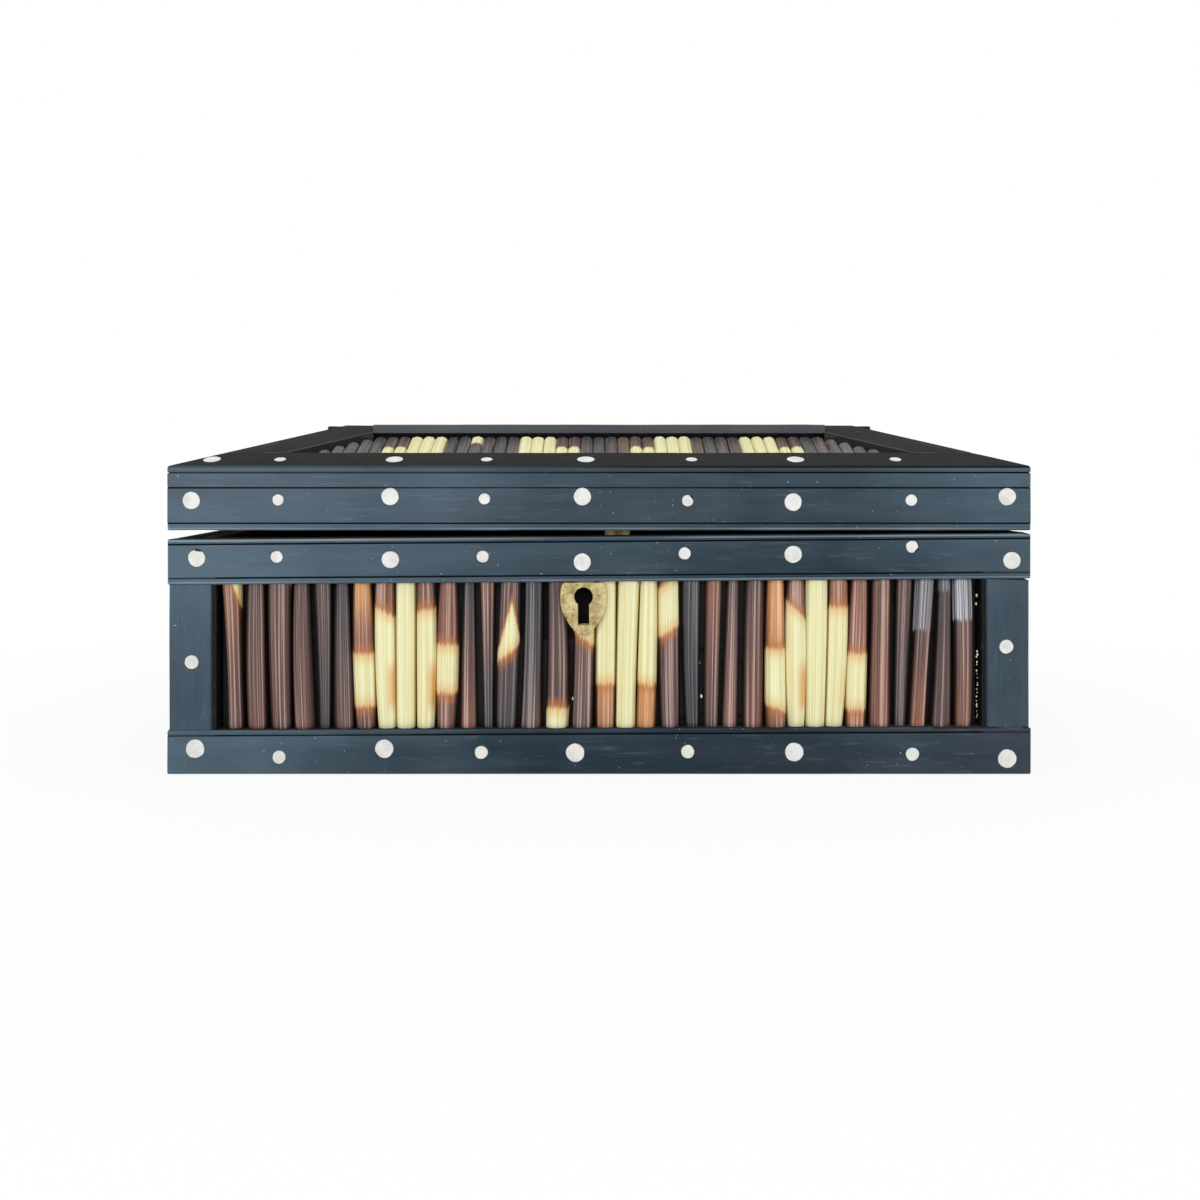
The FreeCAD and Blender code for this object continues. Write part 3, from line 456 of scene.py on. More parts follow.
def quill_finish(name, dim=0.0):
    """Quill horn. across runs -1 to 1 over the side that shows, down 0 to 1 from its head.
    A band of cream lies between two slanted ends, and both are scorched orange.
    On the lid the dark horn is darker, and a grey band near its sides is a painted rim highlight."""
    def paint(flow):
        across = flow.attribute("across")
        down = flow.attribute("down")
        tone = flow.attribute("tone")
        seed = flow.attribute("seed")
        frame_of = flow.add("CombineXYZ", {"X": across * 2.2 + seed * 31.0, "Y": down * 0.55,
                                           "Z": seed * 17.0})
        ridge = frame_of.drawn_out(4.2, 0.6, 1.0).cloud(1.0, 1.0, 0.5)
        streak = frame_of.drawn_out(1.9, 0.5, 1.0).cloud(1.0, 2.0, 0.6)
        fine = frame_of.drawn_out(12.0, 0.4, 1.0).cloud(1.0, 2.0, 0.7)
        hair = frame_of.drawn_out(30.0, 0.5, 1.0).cloud(1.0, 1.0, 0.5)
        tongue = frame_of.drawn_out(7.5, 0.9, 1.0).cloud(1.0, 2.0, 0.6) - 0.5
        mottle = frame_of.drawn_out(1.1, 5.0, 1.0).cloud(1.0, 3.0, 0.6)
        begin = (down - flow.attribute("pale_from") + across * flow.attribute("slant_from")
                 - abs(across - 0.2) * flow.attribute("peak"))
        end = flow.attribute("pale_to") - down + across * flow.attribute("slant_to")
        inside = begin.least(end) + tongue * 0.11
        pale = inside.rise(0.0, 0.035)
        scorch = inside.rise(-0.07, 0.0)
        # painted shade: the quill darkens toward its sides, where it turns away into the gaps
        rim = abs(across).rise(0.58, 1.0)
        horn = flow.shade(colour(58, 58, 63), colour(96, 69, 63), tone.rise(0.0, 0.5))
        horn = horn.toward(colour(140, 92, 72), tone.rise(0.5, 0.8))
        horn = horn.toward(colour(216, 150, 94), tone.rise(0.8, 0.96))
        horn = horn.toward(colour(22, 15, 14), fine.rise(0.48, 0.68) * 0.65)
        # painted highlight: pale streaks down the middle stand for the lamps' reflections on the
        # glossy quill
        middle = 1 - abs(across).rise(0.45, 0.9)
        light = (streak.rise(0.48, 0.6) * 0.72 + ridge.rise(0.56, 0.7) * 0.28) * middle
        horn = horn.toward(flow.shade(flow.shade(colour(146, 144, 147), colour(206, 170, 156),
                                                 tone.rise(0.1, 0.6)),
                                      colour(246, 200, 154), tone.rise(0.8, 0.96)), light)
        horn = horn.toward(colour(38, 30, 31), mottle.rise(0.5, 0.8) * 0.3)
        horn = horn.toward(colour(188, 112, 56), scorch * 0.66)
        horn = horn.toward(colour(36, 35, 33), dim)
        if dim:
            # painted rim highlight: a grey band near the sides of each lid quill, as light glances
            # off it
            edge_band = abs(across).rise(0.5, 0.72) * (1 - abs(across).rise(0.86, 0.97))
            horn = horn.toward(colour(150, 148, 140), edge_band * mottle.rise(0.3, 0.6) * 0.5)
        horn = horn.toward(colour(16, 10, 9), rim * (0.85 if not dim else 0.3))
        # a pale film from the head down, with white streaks on it that are painted highlights
        film_and_sheen = (flow.attribute("film_and_sheen") - down + tongue * 0.09).rise(0.0, 0.03)
        horn = horn.toward(colour(104, 106, 114), film_and_sheen * 0.3)
        horn = horn.toward(colour(220, 224, 234), film_and_sheen * (ridge.rise(0.5, 0.62) * 0.7
                                                          + hair.rise(0.58, 0.66) * 0.3))
        cream = flow.shade(colour(240, 238, 194), colour(225, 212, 150), ridge.rise(0.35, 0.7))
        cream = cream.toward(colour(178, 160, 104), fine.rise(0.56, 0.76) * 0.5)
        cream = cream.toward(colour(150, 134, 92), hair.rise(0.66, 0.76) * 0.4)
        # painted shade: a cream quill's sides go ochre, where it meets its neighbours
        cream = cream.toward(colour(186, 146, 76), abs(across).rise(0.78, 1.0) * 0.7)
        cream = cream.toward(colour(222, 164, 88), (1 - inside.rise(0.02, 0.12)) * 0.55)
        stain = down.rise(0.5, 0.66) * (1 - down.rise(0.8, 0.92)) * across.rise(-0.2, 0.8)
        cream = cream.toward(colour(218, 156, 76), stain * flow.attribute("stain"))
        body = horn.toward(cream, pale)
        height = ridge * 0.6 + fine * 0.4
        return {"Base Color": body, "Roughness": 0.28 + fine * 0.14 + pale * 0.16,
                "Normal": height.bump(0.0003, 0.9)}
    return finish(name, {"Specular IOR Level": 0.3, "Coat Roughness": 0.14,
                         "Coat Weight": 0.12}, paint)


quill_horn = quill_finish("quill_horn")
lid_horn = quill_finish("lid_quill_horn", 0.74)
BAND_VALUES = ("pale_from", "pale_to", "slant_from", "slant_to", "peak", "stain", "film_and_sheen")
QUILL_VALUES = ("across", "down", "tone", "seed") + BAND_VALUES


def quill_bed():
    """An empty mesh that holds a row of quills and what each point knows of its quill."""
    mesh = bmesh.new()
    for name in QUILL_VALUES:
        mesh.verts.layers.float.new(name)
    return mesh


def through(first, middle, last, fall):
    """The value a part of the way down a line through three values."""
    return (first * (1 - fall) * (1 - 2 * fall) + middle * 4 * fall * (1 - fall)
            + last * fall * (2 * fall - 1))


def add_quill(mesh, centres, radii, outward, look, chance, sides=24, steps=10, worn=0.0003):
    """One quill through its head, middle and foot: out of round, fluted and cut off square.
    Its look is its tone at the head and at the foot, and then what it has of BAND_VALUES."""
    tones = look[:2]
    values = dict(zip(BAND_VALUES, look[2:] + (0.0,) * len(BAND_VALUES)))
    if len(look) < 4:
        values["pale_from"] = values["pale_to"] = NO_END
    head, middle, foot = centres
    length = (foot - head).length
    down = (foot - head) / length
    side = outward.cross(down).normalized()
    before = len(mesh.verts)
    bmesh.ops.create_cone(mesh, cap_ends=True, segments=sides, radius1=1, radius2=1, depth=1)
    uprights = [e for v in mesh.verts[before:] for e in v.link_edges
                if abs(e.verts[0].co.z - e.verts[1].co.z) > 0.5]
    bmesh.ops.subdivide_edges(mesh, edges=list(set(uprights)), cuts=steps)
    layers = {name: mesh.verts.layers.float[name] for name in QUILL_VALUES}
    seed = chance.random()
    flutes, turn, squat = chance.uniform(0, 9), chance.uniform(0, 6), chance.uniform(0.92, 1.0)
    swell = 1.055 if values["pale_to"] < NO_END or values["pale_from"] < 0.3 else 1.015
    for vertex in mesh.verts[before:]:
        angle = math.atan2(vertex.co.x, vertex.co.y)
        fall = 0.5 - 0.5 * math.cos(math.pi * (0.5 - vertex.co.z))
        radius = through(*radii, fall)
        from_end = min(fall, 1 - fall) * length
        if from_end < worn:
            radius *= 0.9 + 0.1 * math.sqrt(from_end / worn)
        twist = turn + 0.8 * fall
        radius *= swell
        radius *= (1 + 0.03 * math.sin(angle * 8 + flutes + twist)
                   + 0.02 * math.sin(angle * 13 - flutes + twist))
        across, outer = math.sin(angle), math.cos(angle)
        flat = (abs(across) ** 3 + abs(outer) ** 3) ** (-1 / 3) * 0.5 + 0.5
        spot = through(head, middle, foot, fall)
        vertex.co = spot + side * across * radius * flat + outward * outer * radius * squat * flat
        vertex[layers["across"]] = across
        vertex[layers["down"]] = fall
        vertex[layers["tone"]] = tones[0] * (1 - fall) + tones[1] * fall
        vertex[layers["seed"]] = seed
        for name in BAND_VALUES:
            vertex[layers[name]] = values[name]


# Each front quill, left to right, as it was read off the photograph: its left and right edge
# in tenths of a pixel at its head, middle and foot; its tone at head and foot, from grey 0 to
# tan 1; and for one with cream where it begins and ends from the top, how these lines slant,
# how far the beginning comes to a point, how much it's stained, and how far a pale film with
# painted highlight streaks runs.
PIXEL, PHOTO_MIDDLE = 0.000279, 599.0     # metres to a pixel at the quills, and the middle
front_quills = (
    ((2199, 2394), (2248, 2401), (2267, 2426), 0.82, 0.4, -1.0, 0.0, 0.0, 0.22),
    ((2462, 2630), (2445, 2646), (2464, 2662), 0.35, 0.58),
    ((2666, 2901), (2681, 2892), (2709, 2901), 0.42, 0.5, -1.0, -0.2, 0.0, 0.28),
    ((2926, 3079), (2913, 3109), (2936, 3140), 0.35, 0.6),
    ((3128, 3300), (3160, 3300), (3181, 3293), 0.38, 0.12),
    ((3344, 3475), (3332, 3508), (3338, 3536), 0.12, 0.42),
    ((3529, 3695), (3523, 3734), (3555, 3746), 0.97, 0.55, 0.48, 0.87, 0.0, 0.0),
    ((3746, 3938), (3740, 3944), (3778, 3950), 0.72, 0.7, 0.2, 3.0, -0.04, 0.0, 0.0, 0.75),
    ((3954, 4146), (3955, 4146), (3963, 4142), 0.6, 0.6, -1.0, 3.0, 0.0, 0.0, 0.0, 0.1),
    ((4162, 4337), (4162, 4359), (4165, 4333), 0.64, 0.7, 0.19, 3.0, 0.01, 0.0, 0.0, 0.9),
    ((4394, 4560), (4363, 4576), (4366, 4547), 0.74, 0.6, 0.42, 0.78, 0.0, 0.0, 0.0, 0.1),
    ((4630, 4739), (4611, 4752), (4598, 4764), 0.1, 0.74),
    ((4787, 4951), (4813, 4936), (4831, 4930), 0.68, 0.0),
    ((5004, 5202), (4975, 5185), (4962, 5155), 0.46, 0.15, 0.13, 0.52, 0.0, -0.07, 0.3),
    ((5243, 5430), (5230, 5421), (5192, 5415), 0.02, 0.34),
    ((5476, 5640), (5466, 5695), (5447, 5685), 0.28, 0.5, 0.84, 3.0, 0.0, 0.0),
    ((5746, 5950), (5740, 5938), (5715, 5925), 0.6, 0.32, -1.0, 0.42, 0.0, 0.05),
    ((5976, 6159), (5963, 6153), (5963, 6143), 1.0, 0.86, -1.0, 0.72, 0.0, 0.0),
    ((6187, 6396), (6171, 6365), (6161, 6350), 0.6, 0.6, -1.0, 3.0, 0.0, 0.0),
    ((6409, 6573), (6386, 6571), (6365, 6550), 1.0, 0.92, -1.0, 0.72, 0.0, 0.0),
    ((6588, 6786), (6592, 6793), (6611, 6796), 0.56, 0.36, 0.0, 0.37, 0.05, -0.045),
    ((6822, 7013), (6828, 7000), (6860, 6994), 0.0, 0.02),
    ((7064, 7224), (7049, 7204), (7045, 7185), 0.8, 0.32),
    ((7281, 7396), (7247, 7391), (7220, 7377), 0.3, 0.66),
    ((7466, 7645), (7444, 7638), (7438, 7628), 0.38, 0.68),
    ((7683, 7845), (7661, 7858), (7666, 7865), 0.97, 0.8, 0.45, 0.88, 0.0, 0.03),
    ((7887, 8047), (7861, 8066), (7893, 8047), 0.68, 0.7, 0.19, 3.0, -0.07, 0.0, 0.0, 0.8),
    ((8072, 8280), (8066, 8270), (8070, 8247), 0.6, 0.6, -1.0, 3.0, 0.0, 0.0),
    ((8298, 8487), (8283, 8484), (8266, 8429), 0.84, 0.7, 0.17, 3.0, 0.0, 0.0, 0.0, 0.3),
    ((8525, 8688), (8480, 8681), (8468, 8659), 0.74, 0.85, 0.48, 0.89, 0.0, 0.0),
    ((8729, 8927), (8716, 8914), (8697, 8908), 0.6, 0.72),
    ((8978, 9137), (8965, 9099), (8952, 9067), 0.42, 0.18),
    ((9176, 9360), (9144, 9309), (9103, 9265), 0.2, 0.86, *NO_BAND, 0.36),
    ((9399, 9526), (9367, 9526), (9316, 9520), 0.2, 0.36, *NO_BAND, 0.1),
    ((9543, 9730), (9558, 9743), (9558, 9724), 0.3, 0.74, *NO_BAND, 0.29),
)
# The sides are shorter, so each leaves out twelve of the front's quills.
side_order = (0, 1, 2, 3, 6, 7, 8, 9, 10, 11, 12, 14, 21, 23, 25, 26, 27, 28, 29, 30, 31, 32, 33)
wall_rows = {"front": front_quills, "back": front_quills[::-1],
             "left": [front_quills[i] for i in side_order],
             "right": [front_quills[i] for i in reversed(side_order)]}
# A wall's number, the way its row runs for someone who stands before it, and the way it faces.
WALL_ROW = {"front": (0, Vector((1, 0, 0)), Vector((0, -1, 0))),
            "back": (1, Vector((-1, 0, 0)), Vector((0, 1, 0))),
            "left": (2, Vector((0, -1, 0)), Vector((-1, 0, 0))),
            "right": (3, Vector((0, 1, 0)), Vector((1, 0, 0)))}


def row_span(node, along):
    low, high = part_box(node)
    ends = sorted((low.dot(along), high.dot(along)))
    return ends[0], ends[1], low.z, high.z


AXIS_INSET = 0.00415     # how far the middle of a wall quill lies behind the outer face
END_ROOM = 0.00295       # from the end of an even row to its first quill's middle
CUT_SHORT = 0.0001       # a quill is this much shorter at each end than its place
# The middle of the keyhole, and the keyway that the quills leave open behind its plate.
LOCK = Vector((-0.0043, 0, 0.0493))
KEYWAY_HALF, KEYWAY_FOOT, KEYWAY_HEAD = 0.0028, -0.0082, 0.0029
keyway_cuts = ((0, -KEYWAY_HALF), (0, KEYWAY_HALF), (2, KEYWAY_FOOT), (2, KEYWAY_HEAD))
for wall, row in wall_rows.items():
    number, along, outward = WALL_ROW[wall]
    start, stop, low_z, high_z = row_span("quills_" + wall, along)
    chance = random.Random(40 + number)
    pitch = (stop - start - 2 * END_ROOM) / (len(row) - 1)
    face = HALF_DEPTH if abs(outward.y) > 0.5 else HALF_WIDTH
    heights = (high_z - CUT_SHORT, (low_z + high_z) / 2, low_z + CUT_SHORT)
    mesh = quill_bed()
    for index, (at_head, at_middle, at_foot, *look) in enumerate(row):
        spans = (at_head, at_middle, at_foot)
        places = [PIXEL * (0.05 * (left + right) - PHOTO_MIDDLE) for left, right in spans]
        radii = [min(PIXEL * 0.05 * (right - left), WIDEST) for left, right in spans]
        if wall != "front":
            even = start + END_ROOM + index * pitch
            places = [even + (place - places[1]) * 0.6 for place in places]
        centres = [along * place + outward * (face - AXIS_INSET) + Vector((0, 0, height))
                   for place, height in zip(places, heights)]
        add_quill(mesh, centres, radii, outward, tuple(look), chance, 40, 13)
    if wall == "front":
        for axis, offset in keyway_cuts:
            near = [v for v in mesh.verts if abs(v.co.x - LOCK.x) < 0.009]
            edges = {e for v in near for e in v.link_edges}
            faces = {f for v in near for f in v.link_faces}
            spot, normal = LOCK.copy(), Vector((0, 0, 0))
            spot[axis] += offset
            normal[axis] = 1
            bmesh.ops.bisect_plane(mesh, geom=near + list(edges) + list(faces), dist=1e-6,
                                   plane_co=spot, plane_no=normal)
        middles = {f: f.calc_center_median() - LOCK for f in mesh.faces}
        keyway = [f for f, middle in middles.items() if abs(middle.x) < KEYWAY_HALF
                  and KEYWAY_FOOT < middle.z < KEYWAY_HEAD]
        bmesh.ops.delete(mesh, geom=keyway, context="FACES")
    bmesh.ops.recalc_face_normals(mesh, faces=mesh.faces)
    placed(mesh, "quill_row_" + wall, quill_horn, "base", "quill", "quills_" + wall, crease=60)

# Glue in the front row: small drops and crumbs that set between the quills and were left.
# Pale and a little shiny, on the board or against a quill's side.


def glue_paint(flow):
    place = flow.add("TexCoord", out="Object")
    grey = place.cloud(700.0, 2.0)
    body = flow.shade(colour(226, 222, 206), colour(150, 146, 128), grey.rise(0.35, 0.65))
    return {"Base Color": body, "Roughness": 0.4 + grey * 0.2}


glue = finish("dried_glue", {"Specular IOR Level": 0.5}, glue_paint)
CAMERA_TO_FACE, CAMERA_TO_QUILLS = 0.3561, 0.3591
ROW_FOOT, ROW_HEAD = 0.0141, 0.0554                 # heights of the row's ends
ROW_FOOT_PIXEL, ROW_HEAD_PIXEL = 728, 584           # the same ends in the photograph
# Each drop: pixels across and down, then its radius and how far it lies behind the face.
chance = random.Random(5)
mesh = bmesh.new()
drops = [(573.0, 705.5, 0.00036, 0.0030), (701.6, 703.5, 0.00034, 0.0034),
         (699.8, 671.0, 0.0002, 0.0036), (978.0, 604.0, 0.0003, 0.0004),
         (977.5, 612.0, 0.00024, 0.0004), (942.0, 691.0, 0.0002, 0.0034)]
drops += [(978.4 + chance.uniform(-0.5, 0.5), 656 + 3.0 * (step + chance.random()),
           chance.uniform(0.00008, 0.00027), 0.0004) for step in range(23)]
for across, down, radius, inset in drops:
    before = len(mesh.verts)
    bmesh.ops.create_icosphere(mesh, subdivisions=2, radius=radius)
    nearness = (CAMERA_TO_FACE + inset) / CAMERA_TO_QUILLS
    rise = (ROW_FOOT_PIXEL - down) / (ROW_FOOT_PIXEL - ROW_HEAD_PIXEL)
    centre = Vector((PIXEL * (across - PHOTO_MIDDLE) * nearness, inset - HALF_DEPTH,
                     ROW_FOOT + (ROW_HEAD - ROW_FOOT) * rise))
    for vertex in mesh.verts[before:]:
        lump = 1 + 0.35 * noise.noise(vertex.co * 2500 + centre * 900)
        vertex.co = centre + Vector((vertex.co.x, vertex.co.y, vertex.co.z * 1.5)) * lump
placed(mesh, "glue_drops", glue, "base", "quill")

# Bone discs of the base: small rounds sawn from bone, glued into drilled holes in the strips.
# Cut and filed by hand, so none is quite round, then rubbed flush with the ebony.


def bone_paint(flow):
    place = flow.add("TexCoord", out="Object")
    grey = place.cloud(240.0, 3.0, 0.6)
    fleck = place.cloud(1900.0, 2.0, 0.6).rise(0.62, 0.72)
    stain = place.cloud(90.0, 2.0).rise(0.62, 0.8)
    body = flow.shade(colour(225, 224, 220), colour(208, 205, 198), grey.rise(0.35, 0.7))
    body = body.toward(colour(170, 158, 136), fleck * 0.35)
    body = body.toward(colour(216, 200, 172), stain * 0.35)
    body = body.toward(colour(52, 60, 66), flow.attribute("ring") * (0.45 + grey * 0.6))
    return {"Base Color": body, "Roughness": 0.36 + grey * 0.14,
            "Normal": (grey - fleck * 0.5).bump(0.00006)}


bone = finish("bone", {"Specular IOR Level": 0.45}, bone_paint)
DISC_SWELL, DISC_EASE = 1.04, 0.00015
# Discs that have lost a sliver of their edge: a point on the disc, and the side that is gone.
CHIPS = ((Vector((0.0253, -0.085, 0.0755)), Vector((0.8, 0, 0.6))),
         (Vector((0.0871, -0.085, 0.0620)), Vector((0.8, 0, -0.6))),
         (Vector((-0.1135, -0.085, 0.0755)), Vector((-0.9, 0, 0.2))),
         (Vector((-0.1115, -0.085, 0.0590)), Vector((0.1, 0, 1))))


def filed_discs(node, name, body):
    """The discs of one node, each filed a little out of round, its edge dark with glue."""
    mesh = merged_copy(node)
    mesh.normal_update()
    for found in list(islands(mesh)):
        centre = sum((v.co for v in found), Vector()) / len(found)
        flat = max({f for v in found for f in v.link_faces}, key=lambda f: f.calc_area()).normal
        chip = [way for spot, way in CHIPS if (spot - centre).length < 0.003]
        for vertex in found:
            out = vertex.co - centre
            deep = flat * out.dot(flat)
            out = out - deep
            wobble = noise.noise(centre.normalized() * 31 + out.normalized() * 1.3 + centre * 900)
            fine = noise.noise(out.normalized() * 3.1 + centre * 1700)
            size = DISC_SWELL + 0.05 * wobble + 0.022 * fine
            if chip and out.normalized().dot(chip[0]) > 0.93:
                size -= 0.16
            vertex.co = centre + out * size + deep
    rims = [e for e in mesh.edges if len(e.link_faces) == 2 and e.calc_face_angle(0) > 1.0]
    eased(mesh, rims, DISC_EASE, mesh.faces.layers.float.new("ring"))
    return placed(mesh, name, bone, body, "bone", node, even=True)


filed_discs("base_discs", "bone_rounds_base", "base")

# Keyhole plate: a shield of thin cast brass, pinned and glued over the keyhole.
# Its edge is rounded, and it has gone dull and pale with dark specks.


def brass_paint(flow, shaded_in_keyhole=False):
    place = flow.add("TexCoord", out="Object")
    dull = place.cloud(330.0, 4.0, 0.65)
    speck = place.cloud(1300.0, 2.0, 0.55).rise(0.64, 0.72)
    green = place.cloud(520.0, 3.0, 0.6).rise(0.55, 0.78)
    edge = flow.attribute("edge_band")
    body = flow.shade(colour(196, 180, 130), colour(140, 123, 80), dull.rise(0.35, 0.68))
    body = body.toward(colour(142, 132, 92), green * 0.5)
    body = body.toward(colour(72, 60, 38), speck * 0.8)
    # painted shade: the rounded edge is darker, for the shade along the plate's outline
    body = body.toward(colour(150, 132, 84), edge * 0.4)
    # painted shade: near the front the lock is black, so the keyhole looks dark inside
    if shaded_in_keyhole:
        body = body.toward(colour(9, 8, 7), near_outer_face(place, KEYHOLE_SHADE_REACH))
    return {"Base Color": body, "Metallic": 0.72 - speck * 0.5, "Roughness": 0.42 + dull * 0.2,
            "Normal": (dull * 0.5 - speck).bump(0.00012)}


brass = finish("aged_brass", {"Specular IOR Level": 0.5}, brass_paint)


def cast_plate(node, name):
    mesh = merged_copy(node)
    edge_band = mesh.faces.layers.float.new("edge_band")
    front_y = min(v.co.y for v in mesh.verts)
    edges = [e for e in mesh.edges if len(e.link_faces) == 2 and e.calc_face_angle(0) > 1.0
             and all(abs(v.co.y - front_y) < 1e-5 for v in e.verts)]
    eased(mesh, edges, 0.00032, edge_band, 4)
    return placed(mesh, name, brass, "base", "brass", node, even=True)


cast_plate("keyhole_plate", "keyhole_shield")

# Lock and its screws: sheet brass case and back plate, with iron bolt, posts and spring.
# Let into the front board from behind; the case is dull, the iron dark with a little rust.
# Near the front, case, back plate and key post are painted black as the shade inside the keyhole.


def iron_paint(flow, shaded_in_keyhole=False):
    place = flow.add("TexCoord", out="Object")
    dark = place.cloud(420.0, 4.0, 0.6)
    rust = place.cloud(260.0, 3.0, 0.6).rise(0.6, 0.78)
    body = flow.shade(colour(74, 70, 66), colour(44, 41, 38), dark.rise(0.3, 0.7))
    body = body.toward(colour(96, 58, 38), rust * 0.7)
    # painted shade: the key post's front is black, as the shade inside the keyhole
    if shaded_in_keyhole:
        body = body.toward(colour(4, 4, 4), near_outer_face(place, KEYHOLE_SHADE_REACH))
    return {"Base Color": body, "Metallic": 0.85 - rust * 0.6, "Roughness": 0.4 + rust * 0.35,
            "Normal": (dark - rust * 0.5).bump(0.00008)}


iron = finish("dull_iron", {"Specular IOR Level": 0.5}, iron_paint)
post_iron = finish("post_iron", {"Specular IOR Level": 0.2},
                   lambda flow: iron_paint(flow, shaded_in_keyhole=True))
lock_brass = finish("lock_brass", {"Specular IOR Level": 0.5},
                    lambda flow: brass_paint(flow, shaded_in_keyhole=True))
for node in ("lock_case", "lock_back_plate"):
    coat(node, lock_brass)
for node in ("lock_bolt", "lock_spring", "lock_screws"):
    coat(node, iron)
coat("lock_posts", post_iron)

# Hinges: two brass butt hinges let into the back edges of rim and lid, on iron pins.
# The leaves are thin and screwed down, and the barrels lie flush with the back.

for node in ("hinge_base_leaves", "hinge_lid_leaves"):
    coat(node, brass)
for node in ("hinge_pins", "hinge_base_screws", "hinge_lid_screws"):
    coat(node, iron)

# Lid walls: the frieze strip below, and over it the eave strip that turns on to the slope.
# The same oiled and scribed ebony as the base; the joint between the two has opened a little.

for wall, axis in axes.items():
    worked_strip("frieze_strip_" + wall, "lid", axis, along_finish[axis])
for wall, axis in axes.items():
    piece = worked_strip("eave_strip_" + wall, "lid", axis, along_finish[axis])
    # the eave strip's upward faces take the upward painted-reflection finish
    two_toned(piece, upward_reflection_finish[axis])

# Hip strips and top frame: flat ebony strips over the four corners of the slopes, and round
# the flat of the top with a lip over the ends of the quills. Glued down, with worn edges that are
# also painted pale as a highlight.

# The hips look up, so they take the upward painted-reflection tones.
ebony_hips = ebony_finish("ebony_hips", None, *upward_reflection_tones, open_grain=0.5,
                          level=0.6, sheen_lean=0.0)
worked_strip("hip_strips", "lid", 0, ebony_hips)
ebony_frame = ebony_finish("ebony_frame", GRAIN[0], colour(82, 88, 92), colour(46, 51, 55),
                           colour(130, 136, 140), 0.45, level=0.5, sheen_lean=0.5)
FRAME_END, FRAME_LIP = 0.0695, 0.0956     # where its rounded ends begin, and its lip's underside
piece = worked_strip("top_frame", "lid", 0, ebony_frame, 0.0005, shoulder=0.0014)
# its upward faces and rounded ends take the upward painted-reflection finish
two_toned(piece, upward_reflection_finish[0],
          lambda polygon: polygon.normal.z > 0.75 or abs(polygon.center.x) > FRAME_END)
# black below the lip's underside: pitch there, and painted shadow under the overhanging lip
two_toned(piece, pitch_and_shade_black, lambda polygon: polygon.center.z < FRAME_LIP)

# Quills of the lid: thinner quills laid down each slope, and front to back over the flat top.
# The rows step from dark to cream in the same traditional groups, cut off square and rounded.

# Dark, brown and orange quills, and quills with cream all over, at the foot or at the head.
LETTERS = {"D": (0.2, 0.3), "B": (0.62, 0.66), "O": (0.9, 0.85),
           "C": (0.6, 0.6, -1.0, NO_END), "F": (0.74, 0.8, 0.55, NO_END),
           "T": (0.6, 0.6, -1.0, 0.4)}
roof_rows = {
    "front": "DDDDDFFCCCDDTDDDCCCFFDDDOFFCCCBDBDCCCFFDBDBDD",
    "back": "DDBDBDFFCCCDBDBCCCFFODDDFFCCCDDDTDDCCCFFDDDDD",
    "left": "DDBDDFFCCCDDBDFFCCCFFDBDDCCCFFD",
    "right": "DFFCCCDDBDFFCCCFFDBDDCCCFFDDBDD",
}
SLOPE_RISE = 0.0127
slope_runs = {"front": 0.035, "back": 0.035, "left": 0.043, "right": 0.043}
SLOPE_RADIUS, SLOPE_SINK = 0.00188, 0.00108     # a slope quill, and its middle below its top
TOP_RADIUS, TOP_ROOM = 0.00172, 0.00175         # a top quill, and its room to side and top
for wall, letters in roof_rows.items():
    number, along, outward = WALL_ROW[wall]
    chance = random.Random(80 + number)
    mesh = quill_bed()
    source = merged_copy("roof_quills_" + wall)
    row = sorted(islands(source),
                 key=lambda found: sum(v.co.dot(along) for v in found) / len(found))
    slope = math.atan2(SLOPE_RISE, slope_runs[wall])
    downhill = outward * math.cos(slope) - Vector((0, 0, math.sin(slope)))
    normal = outward * math.sin(slope) + Vector((0, 0, math.cos(slope)))
    for index, found in enumerate(row):
        spots = [v.co.dot(downhill) for v in found]
        across = [v.co.dot(along) for v in found]
        heights = [v.co.dot(normal) for v in found]
        middle = (max(across) + min(across)) / 2
        radius = SLOPE_RADIUS * chance.uniform(0.93, 1.0)
        level = max(heights) - SLOPE_SINK
        head = along * middle + downhill * (min(spots) + CUT_SHORT) + normal * level
        foot = along * middle + downhill * (max(spots) - CUT_SHORT) + normal * level
        look = LETTERS[letters[index % len(letters)]]
        add_quill(mesh, (head, (head + foot) / 2, foot), (radius,) * 3, normal, look, chance)
    source.free()
    bmesh.ops.recalc_face_normals(mesh, faces=mesh.faces)
    placed(mesh, "quill_slope_" + wall, lid_horn, "lid", "quill", "roof_quills_" + wall, crease=60)

top_letters = "DDBDFFCCCFFDBDDFFCCCFFDDBDFFCCCFFDBDD"
chance = random.Random(97)
mesh = quill_bed()
low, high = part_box("top_quills")
pitch = (high.x - low.x - 2 * TOP_ROOM) / (len(top_letters) - 1)
for index, letter in enumerate(top_letters):
    x = low.x + TOP_ROOM + index * pitch
    radius = TOP_RADIUS * chance.uniform(0.92, 1.0)
    centres = [Vector((x, y, high.z - TOP_ROOM))
               for y in (high.y - CUT_SHORT, (low.y + high.y) / 2, low.y + CUT_SHORT)]
    add_quill(mesh, centres, (radius,) * 3, Vector((0, 0, 1)), LETTERS[letter], chance)
bmesh.ops.recalc_face_normals(mesh, faces=mesh.faces)
placed(mesh, "quill_row_top", lid_horn, "lid", "quill", "top_quills", crease=60)

# Bone discs of the lid: in the frieze, on the eave strips and round the top frame.
# The same hand-filed rounds as in the base, glued in and rubbed flush.

for node in ("frieze_discs", "roof_discs", "top_discs"):
    filed_discs(node, "bone_rounds_" + node.split("_")[0], "lid")

# Boards inside the lid, with the brass catch and its screws let into the front one.
# The same plain wood as in the base, under the slopes and the flat top.

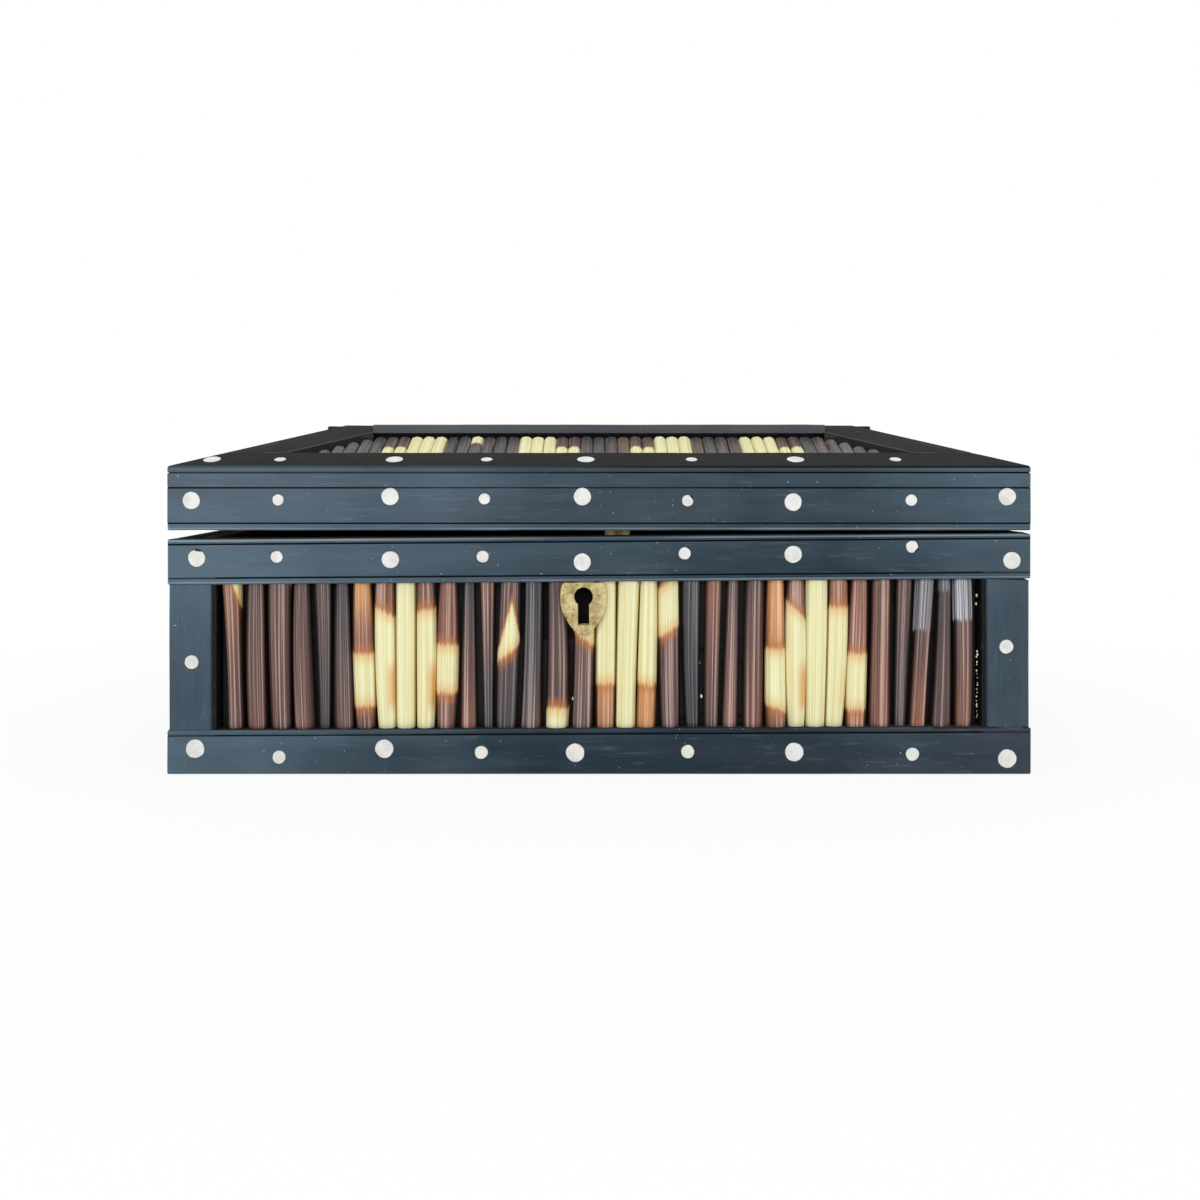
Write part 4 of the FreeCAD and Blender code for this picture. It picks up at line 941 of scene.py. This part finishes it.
# Their upward sides are black, for pitch under the lid's quills and painted shade between them.
bed_lengthwise = board_finish("bed_along_front", (0.12, 1.0, 1.0), bed=True)
bed_crosswise = board_finish("bed_along_sides", (1.0, 0.12, 1.0), bed=True)
for node in ("roof_board_front", "roof_board_back", "top_board"):
    coat(node, bed_lengthwise)
for node in ("roof_board_left", "roof_board_right"):
    coat(node, bed_crosswise)
coat("lid_boards", board_lengthwise)
coat("lid_catch", brass)
coat("catch_screws", iron)

# Floor, world and lamps: a pale studio with large soft lamps overhead and in front, and a
# tall narrow one at each side that draws light lines on the quills.
# The camera sees floor and background as near white, and the box keeps its soft shadow.


def white_rays(flow):
    """1 for the rays that see the studio as white: straight, mirrored or through glass."""
    kinds = [flow.add("LightPath", out=f"Is {kind} Ray")
             for kind in ("Camera", "Glossy", "Transmission")]
    return kinds[0].most(kinds[1]).most(kinds[2])


mesh = bmesh.new()
bmesh.ops.create_grid(mesh, x_segments=1, y_segments=1, size=6.0)
floor_data = bpy.data.meshes.new("floor")
mesh.to_mesh(floor_data)
mesh.free()
floor = bpy.data.objects.new("floor", floor_data)
floor.location.z = -0.0002
scene.collection.objects.link(floor)
floor_material = bpy.data.materials.new("pale_floor")
floor_material.use_nodes = True
floor_material.node_tree.nodes.clear()
flow = Flow(floor_material.node_tree)
seen = white_rays(flow)
place = flow.add("TexCoord", out="Object")
away = (place.part(0) * place.part(0) + place.part(1) * place.part(1)) ** 0.5
matte = flow.add("BsdfDiffuse", {"Color": (0.86, 0.86, 0.86, 1)})
white = flow.add("Emission", {"Color": (1, 1, 1, 1), "Strength": 1.0})
lit = seen * (0.88 + away.rise(0.12, 0.34) * 0.12)
blend = flow.add("MixShader", {0: lit, 1: matte, 2: white})
flow.add("OutputMaterial", {"Surface": blend})
floor.data.materials.append(floor_material)

world = bpy.data.worlds.new("studio")
scene.world = world
world.use_nodes = True
world.node_tree.nodes.clear()
flow = Flow(world.node_tree)
seen = white_rays(flow)
soft = flow.add("Background", {"Color": (0.93, 0.96, 1.0, 1), "Strength": 0.5})
white = flow.add("Background", {"Color": (1, 1, 1, 1), "Strength": 1.0})
blend = flow.add("MixShader", {0: seen, 1: soft, 2: white})
flow.add("OutputWorld", {"Surface": blend})


def lamp(name, place, target, width, height, power, tint):
    data = bpy.data.lights.new(name, "AREA")
    data.shape = "RECTANGLE"
    data.size = width
    data.size_y = height
    data.energy = power
    data.color = tint
    light = bpy.data.objects.new(name, data)
    light.location = place
    light.rotation_euler = (Vector(target) - Vector(place)).to_track_quat("-Z", "Y").to_euler()
    scene.collection.objects.link(light)


lamp("overhead", (0.0, -0.25, 1.1), (0, 0, 0.05), 1.4, 0.9, 5.5, (1.0, 1.0, 1.0))
lamp("front_fill", (-0.2, -1.4, 0.5), (0, 0, 0.05), 0.9, 0.7, 5.5, (0.96, 0.98, 1.0))
lamp("left_window", (-0.8, -1.0, 0.35), (0, -0.05, 0.05), 0.22, 0.9, 2.6, (0.97, 0.98, 1.0))
lamp("right_window", (0.85, -0.9, 0.35), (0, -0.05, 0.05), 0.18, 0.9, 2.0, (1.0, 0.98, 0.96))

# Camera at the photograph's viewing angle: level, close in front, a little below the lid's top.
# The frame reaches further down than up, as the photograph's does.

PHOTO_SIZE = 1200
camera_data = bpy.data.cameras.new("camera")
camera_data.sensor_width = 36.0
camera_data.lens = 38.46
camera_data.shift_x = 1 / PHOTO_SIZE
camera_data.shift_y = -125 / PHOTO_SIZE
camera_data.clip_start = 0.01
camera = bpy.data.objects.new("camera", camera_data)
camera.location = (0.0, -0.4411, 0.08317)
camera.rotation_euler = (math.radians(90), 0, 0)
scene.collection.objects.link(camera)
scene.camera = camera
scene.view_settings.view_transform = "Standard"
